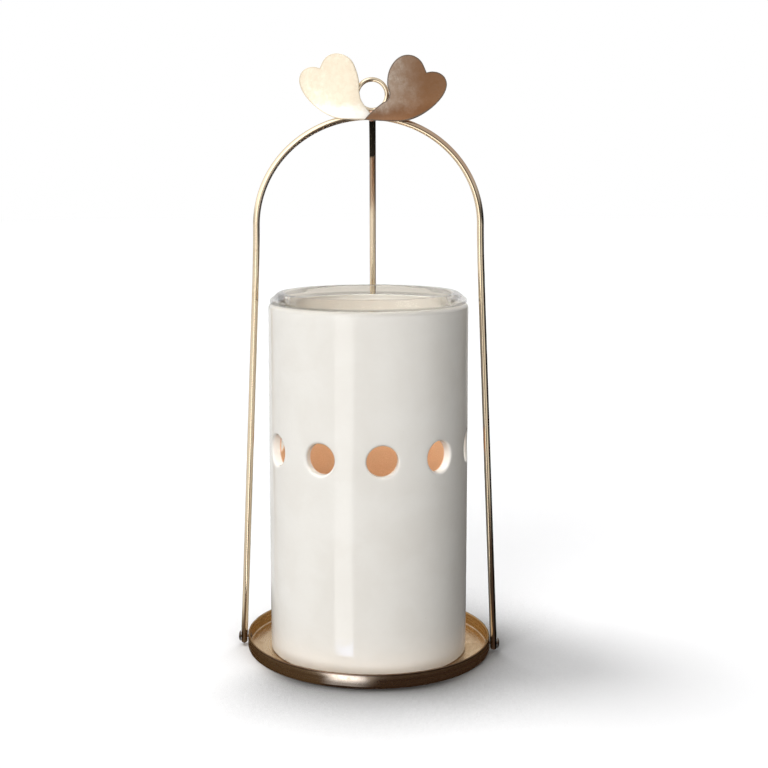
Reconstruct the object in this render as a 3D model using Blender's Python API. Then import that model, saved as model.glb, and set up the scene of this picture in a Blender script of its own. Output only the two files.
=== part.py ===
"""Oil burner, built from its real pieces.

A sheet-metal tray carries a pierced ceramic sleeve, and a tealight burns inside it. A glass dish for the
oil rests on the sleeve's top. A wire arch and a third leg behind are riveted to the tray's rim. They meet
over the dish and carry a hanging ring and two heart-shaped leaves.

Metres. The origin is the middle of the tray's underside, +Z is up and -Y is the front.
"""

import math

import bmesh
import bpy
from mathutils import Matrix, Vector
from mathutils.geometry import delaunay_2d_cdt

# Clearances
SEAT_GAP = 0.0003
DISH_BORE_CLEARANCE = 0.0009
LEG_CLEARANCE = 0.0033
CUT_OVERRUN = 0.0010
WELD_DISTANCE = 0.000001

# Ceramic sleeve
SLEEVE_RADIUS = 0.0452
SLEEVE_WALL = 0.0045
SLEEVE_HEIGHT = 0.1595
SLEEVE_LIP_FILLET = 0.0020
SLEEVE_EDGE_FILLET = 0.0008
VENT_COUNT = 10
VENT_DIAMETER = 0.0138
VENT_HEIGHT = 0.0954
VENT_TURN_DEG = 10.8
VENT_SIDES = 24

# Tray
TRAY_MARGIN = 0.0100
TRAY_SHEET = 0.0008
TRAY_RIM_HEIGHT = 0.0067
TRAY_CORNER_FILLET = 0.0014
TRAY_LIP_FILLET = 0.0003

# Glass dish
DISH_FLANGE_INSET = 0.0008
DISH_RISE = 0.0046
DISH_DEPTH = 0.0190
DISH_WALL = 0.0022
DISH_BOWL_FILLET = 0.0140
DISH_SHOULDER_FILLET = 0.0038
DISH_CREST_FILLET = 0.0008
DISH_EDGE_FILLET = 0.0006

# Wire of the arch and of the back leg
WIRE_DIAMETER = 0.0030
ARCH_HEADROOM = 0.0300
ARCH_RISE = 0.0480
ARCH_SET_FORWARD = 0.0040
LEG_EASE_LENGTH = 0.0100
LEG_FOOT_LIFT = 0.0006
LEG_BEND_SHARES = (6.0, 3.0, 1.5, 0.7)

# Rivets at the feet of the legs
RIVET_HEIGHT = 0.0040
RIVET_SHANK_DIAMETER = 0.0012
RIVET_HEAD_DIAMETER = 0.0048
RIVET_HEAD_THICKNESS = 0.0009
RIVET_TAIL_DIAMETER = 0.0026
RIVET_TAIL_THICKNESS = 0.0006

# Hanging ring
RING_OUTER_DIAMETER = 0.0154
RING_WIRE_DIAMETER = 0.0020
RING_SIDE_OFFSET = 0.0020
RING_SET_BACK = 0.0006

# Heart-shaped leaves
LEAF_LENGTH = 0.0340
LEAF_BREADTH = 0.0260
LEAF_SHEET = 0.0006
LEAF_SWEEP = 0.0090
LEAF_SWEEP_SPAN = 0.0330
LEAF_CURL_HEIGHT = 0.0040
LEAF_SWEEP_POWER = 1.5
LEAF_MESH_PITCH = 0.0038
LEFT_LEAF_TIP_OFFSET = 0.0040
LEFT_LEAF_TURN_DEG = 42.5
RIGHT_LEAF_TIP_OFFSET = 0.0013
RIGHT_LEAF_TURN_DEG = 37.0

# Tealight
CUP_RADIUS = 0.0190
CUP_HEIGHT = 0.0155
CUP_SHEET = 0.0004
CUP_LIP_WIDTH = 0.0007
CUP_CORNER_FILLET = 0.0010
WAX_DEPTH = 0.0118
WAX_EDGE_FILLET = 0.0008
SUSTAINER_RADIUS = 0.0055
SUSTAINER_SHEET = 0.0003
SUSTAINER_NECK_RADIUS = 0.0016
SUSTAINER_NECK_HEIGHT = 0.0042
WICK_DIAMETER = 0.0015
WICK_HEIGHT = 0.0180
WICK_LEAN = 0.0012

# Shape of a leaf, as shares of its length along its middle line and of its breadth across it.
# Each side runs from the pointed tip to the notch between the two lobes.
LEFT_LEAF_INNER_SIDE_SHARES = (
    (0.00, 0.00),
    (0.16, 0.03),
    (0.31, 0.07),
    (0.41, 0.16),
    (0.49, 0.27),
    (0.60, 0.37),
    (0.74, 0.45),
    (0.86, 0.44),
    (0.96, 0.37),
    (1.02, 0.26),
    (1.03, 0.14),
    (1.00, 0.00),
)
RIGHT_LEAF_INNER_SIDE_SHARES = (
    (0.00, 0.00),
    (0.14, 0.03),
    (0.29, 0.04),
    (0.39, 0.03),
    (0.46, 0.09),
    (0.51, 0.24),
    (0.62, 0.39),
    (0.76, 0.47),
    (0.89, 0.46),
    (0.99, 0.36),
    (1.03, 0.20),
    (1.00, 0.00),
)
LEAF_OUTER_SIDE_SHARES = (
    (0.00, 0.00),
    (0.22, -0.25),
    (0.39, -0.42),
    (0.55, -0.50),
    (0.71, -0.53),
    (0.87, -0.52),
    (1.01, -0.47),
    (1.11, -0.38),
    (1.15, -0.26),
    (1.13, -0.14),
    (1.07, -0.05),
    (1.00, 0.00),
)

# Levels and widths that follow from the sizes above
WIRE_RADIUS = WIRE_DIAMETER / 2
SLEEVE_BORE_RADIUS = SLEEVE_RADIUS - SLEEVE_WALL
TRAY_RADIUS = SLEEVE_RADIUS + TRAY_MARGIN + TRAY_SHEET
FLOOR_SEAT = TRAY_SHEET + SEAT_GAP
ARCH_SPRING_HEIGHT = FLOOR_SEAT + SLEEVE_HEIGHT + SEAT_GAP + DISH_RISE + ARCH_HEADROOM
ARCH_TOP = ARCH_SPRING_HEIGHT + ARCH_RISE
LEG_SPRING_DISTANCE = SLEEVE_RADIUS + LEG_CLEARANCE + WIRE_RADIUS
LEG_RIM_DISTANCE = TRAY_RADIUS + SEAT_GAP + WIRE_RADIUS
ARCH_FRONT = ARCH_SET_FORWARD + WIRE_RADIUS

# Fineness of the round shapes
FILLET_STEPS = 3
BOWL_FILLET_STEPS = 5
ROUND_SEGMENTS = 56
SMALL_ROUND_SEGMENTS = 32
RIVET_SEGMENTS = 12
WIRE_SIDES = 10
ARCH_STEPS = 18
RING_STEPS = 28
WICK_STEPS = 5
LEAF_CURVE_STEPS = 3
SHARP_ANGLE = math.radians(35.0)


def clear_scene():
    for obj in list(bpy.data.objects):
        bpy.data.objects.remove(obj, do_unlink=True)


def finish(name, colour, roughness, metallic=0.0, transmission=0.0):
    """A plain material for one sub-part."""
    material = bpy.data.materials.new(name)
    material.use_nodes = True
    shader = material.node_tree.nodes["Principled BSDF"]
    shader.inputs["Base Color"].default_value = (*colour, 1.0)
    shader.inputs["Roughness"].default_value = roughness
    shader.inputs["Metallic"].default_value = metallic
    shader.inputs["Transmission Weight"].default_value = transmission
    return material


def add_object(name, shape, material, location=(0, 0, 0), parent=None):
    """Turns a finished bmesh into a named object with smooth sides and sharp corners."""
    bmesh.ops.recalc_face_normals(shape, faces=shape.faces)
    mesh = bpy.data.meshes.new(name)
    shape.to_mesh(mesh)
    shape.free()
    mesh.shade_smooth()
    mesh.set_sharp_from_angle(angle=SHARP_ANGLE)
    obj = bpy.data.objects.new(name, mesh)
    obj.location = location
    obj.parent = parent
    if material:
        mesh.materials.append(material)
    bpy.context.scene.collection.objects.link(obj)
    return obj


def rounded_outline(corners, steps=FILLET_STEPS):
    """Points of a profile, from corners given as radius, height and fillet."""
    points = []
    for index, (radius, height, fillet) in enumerate(corners):
        corner = Vector((radius, height))
        if fillet == 0:
            points.append(corner)
            continue
        to_last = (Vector(corners[index - 1][:2]) - corner).normalized()
        to_next = (Vector(corners[(index + 1) % len(corners)][:2]) - corner).normalized()
        half_angle = to_last.angle(to_next) / 2
        centre = corner + (to_last + to_next).normalized() * (fillet / math.sin(half_angle))
        start = corner + to_last * (fillet / math.tan(half_angle)) - centre
        end = corner + to_next * (fillet / math.tan(half_angle)) - centre
        for step in range(steps + 1):
            points.append(centre + start.slerp(end, step / steps) * fillet)
    return points


def turned_shape(profile, segments):
    """A solid of revolution about Z. A profile that starts and ends on the axis is left open there."""
    shape = bmesh.new()
    verts = [shape.verts.new((radius, 0, height)) for radius, height in profile]
    edges = [shape.edges.new(pair) for pair in zip(verts, verts[1:])]
    if verts[0].co.x > 0:
        edges.append(shape.edges.new((verts[-1], verts[0])))
    bmesh.ops.spin(
        shape,
        geom=verts + edges,
        cent=(0, 0, 0),
        axis=(0, 0, 1),
        dvec=(0, 0, 0),
        angle=math.tau,
        steps=segments,
        use_merge=True,
        use_duplicate=False,
    )
    bmesh.ops.remove_doubles(shape, verts=shape.verts, dist=WELD_DISTANCE)
    return shape


def wire_stations(path, radius, closed):
    """Centre, direction and radius of each ring of a bent wire, with domed ends."""
    count = len(path)
    stations = []
    for index, centre in enumerate(path):
        last = path[index - 1] if closed or index else centre
        following = path[(index + 1) % count] if closed or index < count - 1 else centre
        stations.append((centre, (following - last).normalized(), radius))
    if closed:
        return stations
    first_dome = []
    last_dome = []
    for step in range(1, FILLET_STEPS):
        angle = math.pi / 2 * step / FILLET_STEPS
        inset = radius * (1 - math.sin(angle))
        start, start_way, _ = stations[0]
        end, end_way, _ = stations[-1]
        first_dome.insert(0, (start + start_way * inset, start_way, radius * math.cos(angle)))
        last_dome.append((end - end_way * inset, end_way, radius * math.cos(angle)))
    start, start_way, _ = stations[0]
    end, end_way, _ = stations[-1]
    stations[0] = (start + start_way * radius, start_way, radius)
    stations[-1] = (end - end_way * radius, end_way, radius)
    return first_dome + stations + last_dome


def wire_shape(path, plane_normal, diameter, closed=False):
    """A round wire bent along a flat path."""
    shape = bmesh.new()
    rings = []
    for centre, way, radius in wire_stations(path, diameter / 2, closed):
        across = way.cross(plane_normal)
        ring = []
        for side in range(WIRE_SIDES):
            angle = math.tau * side / WIRE_SIDES
            spoke = plane_normal * math.cos(angle) + across * math.sin(angle)
            ring.append(shape.verts.new(centre + spoke * radius))
        rings.append(ring)
    following_rings = rings[1:] + rings[:1] if closed else rings[1:]
    for ring, following in zip(rings, following_rings):
        for side in range(WIRE_SIDES):
            beside = (side + 1) % WIRE_SIDES
            shape.faces.new((ring[side], ring[beside], following[beside], following[side]))
    if not closed:
        shape.faces.new(rings[0])
        shape.faces.new(rings[-1])
    return shape


def make_cutter(name, shape):
    """An object that only cuts others."""
    cutter = add_object(name, shape, None)
    cutter.hide_render = True
    cutter.display_type = "WIRE"
    return cutter


def cut(obj, cutter):
    modifier = obj.modifiers.new("cut", "BOOLEAN")
    modifier.operation = "DIFFERENCE"
    modifier.object = cutter


def add_radial_rod(shape, azimuth, height, near, far, diameter, sides):
    """Adds a rod to a cutter. It points away from the tray's axis, from near to far."""
    middle = Matrix.Translation(((near + far) / 2, 0, height))
    lying = Matrix.Rotation(math.pi / 2, 4, "Y")
    bmesh.ops.create_cone(
        shape,
        cap_ends=True,
        segments=sides,
        radius1=diameter / 2,
        radius2=diameter / 2,
        depth=far - near,
        matrix=Matrix.Rotation(azimuth, 4, "Z") @ middle @ lying,
    )


def leg_distance(height, rim_distance):
    """How far a leg's centre line is from the middle at a height below the spring of the arch."""

    def eased(drop):
        return drop - LEG_EASE_LENGTH * (1 - math.exp(-drop / LEG_EASE_LENGTH))

    splay = (rim_distance - LEG_SPRING_DISTANCE) / eased(ARCH_SPRING_HEIGHT - TRAY_RIM_HEIGHT)
    return LEG_SPRING_DISTANCE + splay * eased(ARCH_SPRING_HEIGHT - height)


def leg_heights():
    """Heights of the bends of one leg, from its foot to the spring of the arch."""
    drops = [LEG_EASE_LENGTH * share for share in LEG_BEND_SHARES]
    return [LEG_FOOT_LIFT, TRAY_RIM_HEIGHT] + [ARCH_SPRING_HEIGHT - drop for drop in drops]


def arch_rim_distance():
    """Sideways distance at which a leg of the arch, set forward, clears the round rim."""
    return math.sqrt(LEG_RIM_DISTANCE**2 - ARCH_SET_FORWARD**2)


def rivet_places():
    """Name, azimuth and wire distance of each rivet, as seen from the tray's axis."""
    side = leg_distance(RIVET_HEIGHT, arch_rim_distance())
    back = leg_distance(RIVET_HEIGHT, LEG_RIM_DISTANCE)
    side_azimuth = math.atan2(-ARCH_SET_FORWARD, side)
    side_distance = math.hypot(side, ARCH_SET_FORWARD)
    return (
        ("left_foot_rivet", math.pi - side_azimuth, side_distance),
        ("right_foot_rivet", side_azimuth, side_distance),
        ("back_foot_rivet", math.pi / 2, back),
    )


def make_rivet_hole_cutter():
    """Drills through the rim and the three feet."""
    shape = bmesh.new()
    for _, azimuth, distance in rivet_places():
        add_radial_rod(
            shape,
            azimuth,
            RIVET_HEIGHT,
            TRAY_RADIUS - TRAY_SHEET - CUT_OVERRUN,
            distance + WIRE_RADIUS + CUT_OVERRUN,
            RIVET_SHANK_DIAMETER + 2 * SEAT_GAP,
            RIVET_SEGMENTS,
        )
    return make_cutter("cutter_rivet_holes", shape)


def make_tray(stand, rivet_holes):
    """Flat pressed tray with a low upright rim."""
    inner = TRAY_RADIUS - TRAY_SHEET
    profile = rounded_outline(
        (
            (0, 0, 0),
            (TRAY_RADIUS, 0, TRAY_CORNER_FILLET),
            (TRAY_RADIUS, TRAY_RIM_HEIGHT, TRAY_LIP_FILLET),
            (inner, TRAY_RIM_HEIGHT, TRAY_LIP_FILLET),
            (inner, TRAY_SHEET, TRAY_CORNER_FILLET - TRAY_SHEET),
            (0, TRAY_SHEET, 0),
        )
    )
    material = finish("gold_tray", (0.52, 0.36, 0.20), 0.30, metallic=1.0)
    tray = add_object("base_tray", turned_shape(profile, ROUND_SEGMENTS), material, parent=stand)
    cut(tray, rivet_holes)


def make_arch(stand, rivet_holes):
    """One wire makes the left leg, the round top and the right leg."""
    rim_distance = arch_rim_distance()
    half = [(leg_distance(height, rim_distance), height) for height in leg_heights()]
    for step in range(ARCH_STEPS + 1):
        angle = math.pi / 2 * step / ARCH_STEPS
        rise = ARCH_RISE * math.sin(angle)
        half.append((LEG_SPRING_DISTANCE * math.cos(angle), ARCH_SPRING_HEIGHT + rise))
    left = [Vector((-distance, 0, height)) for distance, height in half]
    right = [Vector((distance, 0, height)) for distance, height in reversed(half[:-1])]
    shape = wire_shape(left + right, Vector((0, 1, 0)), WIRE_DIAMETER)
    material = finish("gold_arch_wire", (0.74, 0.60, 0.40), 0.16, metallic=1.0)
    arch = add_object("arch_wire", shape, material, (0, -ARCH_SET_FORWARD, 0), stand)
    cut(arch, rivet_holes)


def make_back_leg(stand, rivet_holes):
    """The third leg, behind. It butts against the back of the arch's top."""
    path = [Vector((0, leg_distance(z, LEG_RIM_DISTANCE), z)) for z in leg_heights()]
    reach = LEG_SPRING_DISTANCE + ARCH_SET_FORWARD
    end_share = (WIRE_RADIUS + SEAT_GAP) / reach
    last_angle = math.acos(end_share)
    for step in range(ARCH_STEPS + 1):
        angle = last_angle * step / ARCH_STEPS
        distance = reach * math.cos(angle) - ARCH_SET_FORWARD
        path.append(Vector((0, distance, ARCH_SPRING_HEIGHT + ARCH_RISE * math.sin(angle))))
    shape = wire_shape(path, Vector((1, 0, 0)), WIRE_DIAMETER)
    material = finish("gold_back_leg", (0.74, 0.60, 0.40), 0.16, metallic=1.0)
    leg = add_object("back_leg", shape, material, parent=stand)
    cut(leg, rivet_holes)


def dome(radius, base, top, steps=FILLET_STEPS):
    """Profile points of a low dome, from its edge at base to the axis at top."""
    points = []
    for step in range(steps + 1):
        angle = math.pi / 2 * step / steps
        points.append(Vector((radius * math.cos(angle), base + (top - base) * math.sin(angle))))
    points[-1].x = 0
    return points


def make_rivets(stand):
    """Each rivet passes through the rim and the foot of a leg, with a domed head outside."""
    material = finish("gold_rivet", (0.45, 0.33, 0.20), 0.25, metallic=1.0)
    shank = RIVET_SHANK_DIAMETER / 2
    tail_seat = TRAY_RADIUS - TRAY_SHEET - SEAT_GAP
    for name, azimuth, distance in rivet_places():
        head_seat = distance + WIRE_RADIUS + SEAT_GAP
        tail = dome(RIVET_TAIL_DIAMETER / 2, tail_seat, tail_seat - RIVET_TAIL_THICKNESS)
        head = dome(RIVET_HEAD_DIAMETER / 2, head_seat, head_seat + RIVET_HEAD_THICKNESS)
        profile = tail[::-1] + [Vector((shank, tail_seat)), Vector((shank, head_seat))] + head
        rivet = add_object(name, turned_shape(profile, RIVET_SEGMENTS), material, parent=stand)
        rivet.location = (0, 0, RIVET_HEIGHT)
        rivet.rotation_euler = (0, math.pi / 2, azimuth)


def make_ring(stand):
    """Wire ring that stands on the top of the arch."""
    radius = (RING_OUTER_DIAMETER - RING_WIRE_DIAMETER) / 2
    path = []
    for step in range(RING_STEPS):
        angle = math.tau * step / RING_STEPS
        path.append(Vector((radius * math.cos(angle), 0, radius * math.sin(angle))))
    shape = wire_shape(path, Vector((0, 1, 0)), RING_WIRE_DIAMETER, closed=True)
    material = finish("gold_ring", (0.78, 0.64, 0.44), 0.16, metallic=1.0)
    height = ARCH_TOP + WIRE_RADIUS + SEAT_GAP + RING_OUTER_DIAMETER / 2
    location = (RING_SIDE_OFFSET, RING_SET_BACK - ARCH_SET_FORWARD, height)
    add_object("hanging_ring", shape, material, location, stand)


def smooth_curve(points, steps):
    """Points of a smooth curve through the given ones, without the last."""
    curve = []
    count = len(points)
    for index in range(count - 1):
        before = points[max(index - 1, 0)]
        start = points[index]
        end = points[index + 1]
        after = points[min(index + 2, count - 1)]
        for step in range(steps):
            t = step / steps
            bend = (before * 2 - start * 5 + end * 4 - after) * t**2
            turn = (start * 3 - before - end * 3 + after) * t**3
            curve.append(start + ((end - before) * t + bend + turn) / 2)
    return curve


def leaf_outline(inner_shares):
    """Closed outline of a leaf in its own plane, with its tip at the origin."""
    size = Vector((LEAF_LENGTH, LEAF_BREADTH))
    inner = [Vector(share) * size for share in inner_shares]
    outer = [Vector(share) * size for share in LEAF_OUTER_SIDE_SHARES]
    inner_side = smooth_curve(inner, LEAF_CURVE_STEPS)
    outer_side = smooth_curve(outer, LEAF_CURVE_STEPS)
    return inner_side + [inner[-1]] + outer_side[:0:-1]


def is_inside(point, outline):
    """True if a point lies within an outline, at least half a mesh pitch from its corners."""
    crossings = 0
    for start, end in zip(outline, outline[1:] + outline[:1]):
        if (start - point).length < LEAF_MESH_PITCH / 2:
            return False
        if (start.y > point.y) != (end.y > point.y):
            share = (point.y - start.y) / (end.y - start.y)
            crossings += point.x < start.x + share * (end.x - start.x)
    return crossings % 2 == 1


def leaf_shape(inner_shares, turn, side, tip_x):
    """A leaf's bent middle surface, with its tip at the origin. Side is 1 to the right, -1 to the left."""
    outline = leaf_outline(inner_shares)
    points = list(outline)
    columns = math.ceil(max(point.x for point in outline) / LEAF_MESH_PITCH)
    rows = math.ceil(max(abs(point.y) for point in outline) / LEAF_MESH_PITCH)
    for column in range(columns):
        for row in range(-rows, rows + 1):
            point = Vector((column, row)) * LEAF_MESH_PITCH
            if is_inside(point, outline):
                points.append(point)
    rim = [(index, (index + 1) % len(outline)) for index in range(len(outline))]
    flat, _, triangles, _, _, _ = delaunay_2d_cdt(points, rim, [], 1, WELD_DISTANCE)
    shape = bmesh.new()
    verts = []
    for point in flat:
        outward = point.x * math.cos(turn) - point.y * math.sin(turn)
        upward = point.x * math.sin(turn) + point.y * math.cos(turn)
        from_crease = abs(tip_x + side * outward) / LEAF_SWEEP_SPAN
        curl = max(upward, 0) / (max(upward, 0) + LEAF_CURL_HEIGHT)
        sweep = LEAF_SWEEP * from_crease**LEAF_SWEEP_POWER * curl
        verts.append(shape.verts.new((side * outward, sweep, upward)))
    for triangle in triangles:
        shape.faces.new([verts[index] for index in triangle])
    return shape


def make_leaf(name, stand, inner_shares, turn, side, tip_x, layer):
    """A leaf soldered by its tip to the front of the arch. Layer 1 lies over layer 0."""
    shape = leaf_shape(inner_shares, turn, side, tip_x)
    material = finish("gold_" + name, (0.72, 0.57, 0.42), 0.34, metallic=1.0)
    depth = ARCH_FRONT + SEAT_GAP + LEAF_SHEET / 2 + layer * (LEAF_SHEET + SEAT_GAP)
    leaf = add_object(name, shape, material, (tip_x, -depth, ARCH_TOP - WIRE_RADIUS), stand)
    thickness = leaf.modifiers.new("sheet", "SOLIDIFY")
    thickness.thickness = LEAF_SHEET
    thickness.offset = 0


def make_sleeve(axis):
    """Straight glazed sleeve, open at both ends, with one row of round vents."""
    profile = rounded_outline(
        (
            (SLEEVE_RADIUS, 0, SLEEVE_EDGE_FILLET),
            (SLEEVE_RADIUS, SLEEVE_HEIGHT, SLEEVE_LIP_FILLET),
            (SLEEVE_BORE_RADIUS, SLEEVE_HEIGHT, SLEEVE_EDGE_FILLET),
            (SLEEVE_BORE_RADIUS, 0, SLEEVE_EDGE_FILLET),
        )
    )
    material = finish("ivory_glaze", (0.84, 0.82, 0.77), 0.12)
    sleeve = add_object("ceramic_sleeve", turned_shape(profile, ROUND_SEGMENTS), material, parent=axis)
    vents = bmesh.new()
    for index in range(VENT_COUNT):
        azimuth = math.radians(VENT_TURN_DEG) - math.pi / 2 + math.tau * index / VENT_COUNT
        near = SLEEVE_BORE_RADIUS - SLEEVE_WALL - CUT_OVERRUN
        far = SLEEVE_RADIUS + CUT_OVERRUN
        add_radial_rod(vents, azimuth, VENT_HEIGHT, near, far, VENT_DIAMETER, VENT_SIDES)
    cutter = make_cutter("cutter_vents", vents)
    cutter.parent = axis
    cut(sleeve, cutter)


def make_dish(axis):
    """Glass dish. Its flange rests on the sleeve's top and its bowl hangs in the sleeve's bore."""
    bowl = SLEEVE_BORE_RADIUS - DISH_BORE_CLEARANCE
    inner = bowl - DISH_WALL
    flange = SLEEVE_RADIUS - DISH_FLANGE_INSET
    floor = -DISH_DEPTH
    outside = rounded_outline(
        ((0, floor, 0), (bowl, floor, DISH_BOWL_FILLET), (bowl, 0, 0)), BOWL_FILLET_STEPS
    )
    rim = rounded_outline(
        (
            (bowl, 0, 0),
            (flange, 0, DISH_EDGE_FILLET),
            (flange, DISH_RISE, DISH_SHOULDER_FILLET),
            (inner, DISH_RISE, DISH_CREST_FILLET),
            (inner, 0, 0),
        )
    )
    inside_floor = floor + DISH_WALL
    inside_fillet = DISH_BOWL_FILLET - DISH_WALL
    inside = rounded_outline(
        ((inner, 0, 0), (inner, inside_floor, inside_fillet), (0, inside_floor, 0)), BOWL_FILLET_STEPS
    )
    profile = outside + rim[1:-1] + inside[1:]
    material = finish("clear_glass", (0.95, 0.96, 0.95), 0.03, transmission=1.0)
    add_object("glass_dish", turned_shape(profile, ROUND_SEGMENTS), material, parent=axis)


def make_tealight(axis):
    """Aluminium cup with wax. The wick stands in a pressed sustainer under the wax."""
    lip = CUP_RADIUS + CUP_LIP_WIDTH
    inner = CUP_RADIUS - CUP_SHEET
    cup_profile = rounded_outline(
        (
            (0, 0, 0),
            (CUP_RADIUS, 0, CUP_CORNER_FILLET),
            (CUP_RADIUS, CUP_HEIGHT - CUP_SHEET, 0),
            (lip, CUP_HEIGHT - CUP_SHEET, 0),
            (lip, CUP_HEIGHT, 0),
            (inner, CUP_HEIGHT, 0),
            (inner, CUP_SHEET, CUP_CORNER_FILLET - CUP_SHEET),
            (0, CUP_SHEET, 0),
        )
    )
    aluminium = finish("bare_aluminium", (0.80, 0.80, 0.80), 0.35, metallic=1.0)
    cup = add_object("tealight_cup", turned_shape(cup_profile, SMALL_ROUND_SEGMENTS), aluminium, parent=axis)
    seat = (0, 0, CUP_SHEET + SEAT_GAP)

    wick_bore = WICK_DIAMETER / 2 + SEAT_GAP
    wax_radius = inner - SEAT_GAP
    plate_top = SUSTAINER_SHEET + SEAT_GAP
    neck_top = SUSTAINER_NECK_HEIGHT + SEAT_GAP
    wax_profile = rounded_outline(
        (
            (wax_radius, 0, WAX_EDGE_FILLET),
            (wax_radius, WAX_DEPTH, WAX_EDGE_FILLET),
            (wick_bore, WAX_DEPTH, 0),
            (wick_bore, neck_top, 0),
            (SUSTAINER_NECK_RADIUS + SEAT_GAP, neck_top, 0),
            (SUSTAINER_NECK_RADIUS + SEAT_GAP, plate_top, 0),
            (SUSTAINER_RADIUS + SEAT_GAP, plate_top, 0),
            (SUSTAINER_RADIUS + SEAT_GAP, 0, 0),
        )
    )
    wax = finish("white_wax", (0.90, 0.88, 0.82), 0.45)
    add_object("tealight_wax", turned_shape(wax_profile, SMALL_ROUND_SEGMENTS), wax, seat, cup)

    plate_profile = (
        (wick_bore, 0),
        (SUSTAINER_RADIUS, 0),
        (SUSTAINER_RADIUS, SUSTAINER_SHEET),
        (SUSTAINER_NECK_RADIUS, SUSTAINER_SHEET),
        (SUSTAINER_NECK_RADIUS, SUSTAINER_NECK_HEIGHT),
        (wick_bore, SUSTAINER_NECK_HEIGHT),
    )
    tin = finish("tinned_steel", (0.66, 0.66, 0.66), 0.40, metallic=1.0)
    add_object("wick_sustainer", turned_shape(plate_profile, RIVET_SEGMENTS), tin, seat, cup)

    path = []
    for step in range(WICK_STEPS + 1):
        share = step / WICK_STEPS
        above_wax = max(share * WICK_HEIGHT - WAX_DEPTH, 0) / (WICK_HEIGHT - WAX_DEPTH)
        path.append(Vector((WICK_LEAN * above_wax**2, 0, share * WICK_HEIGHT)))
    cotton = finish("waxed_cotton", (0.88, 0.85, 0.76), 0.80)
    add_object("wick", wire_shape(path, Vector((0, 1, 0)), WICK_DIAMETER), cotton, seat, cup)


def add_empty(name, location, parent=None):
    """The origin of a body, on the line along which it moves."""
    empty = bpy.data.objects.new(name, None)
    empty.location = location
    empty.parent = parent
    bpy.context.scene.collection.objects.link(empty)
    return empty


def build():
    clear_scene()
    stand = add_empty("stand", (0, 0, 0))
    sleeve_axis = add_empty("sleeve_axis", (0, 0, FLOOR_SEAT), stand)
    dish_axis = add_empty("dish_axis", (0, 0, SLEEVE_HEIGHT + SEAT_GAP), sleeve_axis)
    candle_axis = add_empty("candle_axis", (0, 0, FLOOR_SEAT), stand)
    rivet_holes = make_rivet_hole_cutter()
    make_tray(stand, rivet_holes)
    make_arch(stand, rivet_holes)
    make_back_leg(stand, rivet_holes)
    make_rivets(stand)
    make_ring(stand)
    left_turn = math.radians(LEFT_LEAF_TURN_DEG)
    right_turn = math.radians(RIGHT_LEAF_TURN_DEG)
    make_leaf("left_leaf", stand, LEFT_LEAF_INNER_SIDE_SHARES, left_turn, -1, LEFT_LEAF_TIP_OFFSET, 0)
    make_leaf("right_leaf", stand, RIGHT_LEAF_INNER_SIDE_SHARES, right_turn, 1, -RIGHT_LEAF_TIP_OFFSET, 1)
    make_sleeve(sleeve_axis)
    make_dish(dish_axis)
    make_tealight(candle_axis)


build()
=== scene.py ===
"""Oil burner on a white table, dressed in its pale gold, glaze and glass.

Metres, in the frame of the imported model: the origin is the middle of the tray's underside, +Z is up and
-Y is the front. The file follows the burner as it is put together, from the tray up.
"""

import math

import bmesh
import bpy
from mathutils import Matrix, Vector, noise


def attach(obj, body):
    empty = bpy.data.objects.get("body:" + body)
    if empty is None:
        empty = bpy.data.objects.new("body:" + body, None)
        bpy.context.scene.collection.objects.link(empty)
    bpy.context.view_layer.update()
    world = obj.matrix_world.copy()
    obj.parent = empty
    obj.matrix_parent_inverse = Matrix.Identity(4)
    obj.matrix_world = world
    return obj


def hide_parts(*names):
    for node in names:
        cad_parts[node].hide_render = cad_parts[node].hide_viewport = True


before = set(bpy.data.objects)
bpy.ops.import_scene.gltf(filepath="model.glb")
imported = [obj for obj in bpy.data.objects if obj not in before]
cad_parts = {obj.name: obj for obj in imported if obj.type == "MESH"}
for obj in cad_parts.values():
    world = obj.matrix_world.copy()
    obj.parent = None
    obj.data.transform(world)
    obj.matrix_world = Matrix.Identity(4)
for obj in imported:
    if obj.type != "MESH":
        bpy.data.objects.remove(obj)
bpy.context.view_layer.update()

# Tray. One disc of brass sheet is pressed into a shallow pan with a low upright wall and a dressed lip.
# It is brushed while it turns, so its marks run round it, and it is then plated in a pale rosy gold.
TRAY_RADIUS = 0.0560
TRAY_SHEET = 0.0008
TRAY_RIM_HEIGHT = 0.0067
TRAY_CORNER_FILLET = 0.0014
TRAY_LIP_FILLET = 0.00035
TRAY_SEGMENTS = 160
FILLET_STEPS = 6
CRISP_ANGLE = math.radians(38)
WELD_DISTANCE = 0.000002


def rounded_outline(corners, steps=FILLET_STEPS):
    """Points of a closed outline, from corners given as radius, height and fillet."""
    points = []
    for index, (radius, height, fillet) in enumerate(corners):
        corner = Vector((radius, height))
        if fillet == 0:
            points.append(corner)
            continue
        to_last = (Vector(corners[index - 1][:2]) - corner).normalized()
        to_next = (Vector(corners[(index + 1) % len(corners)][:2]) - corner).normalized()
        half_angle = to_last.angle(to_next) / 2
        centre = corner + (to_last + to_next).normalized() * (fillet / math.sin(half_angle))
        start = corner + to_last * (fillet / math.tan(half_angle)) - centre
        end = corner + to_next * (fillet / math.tan(half_angle)) - centre
        points += [centre + start.slerp(end, step / steps) * fillet for step in range(steps + 1)]
    return points


def divided(outline, pitch):
    """The same outline, with no step along it longer than the pitch."""
    points = []
    for start, end in zip(outline, outline[1:]):
        parts = max(math.ceil((end - start).length / pitch), 1)
        points += [start.lerp(end, part / parts) for part in range(parts)]
    return points + [outline[-1]]


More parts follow.
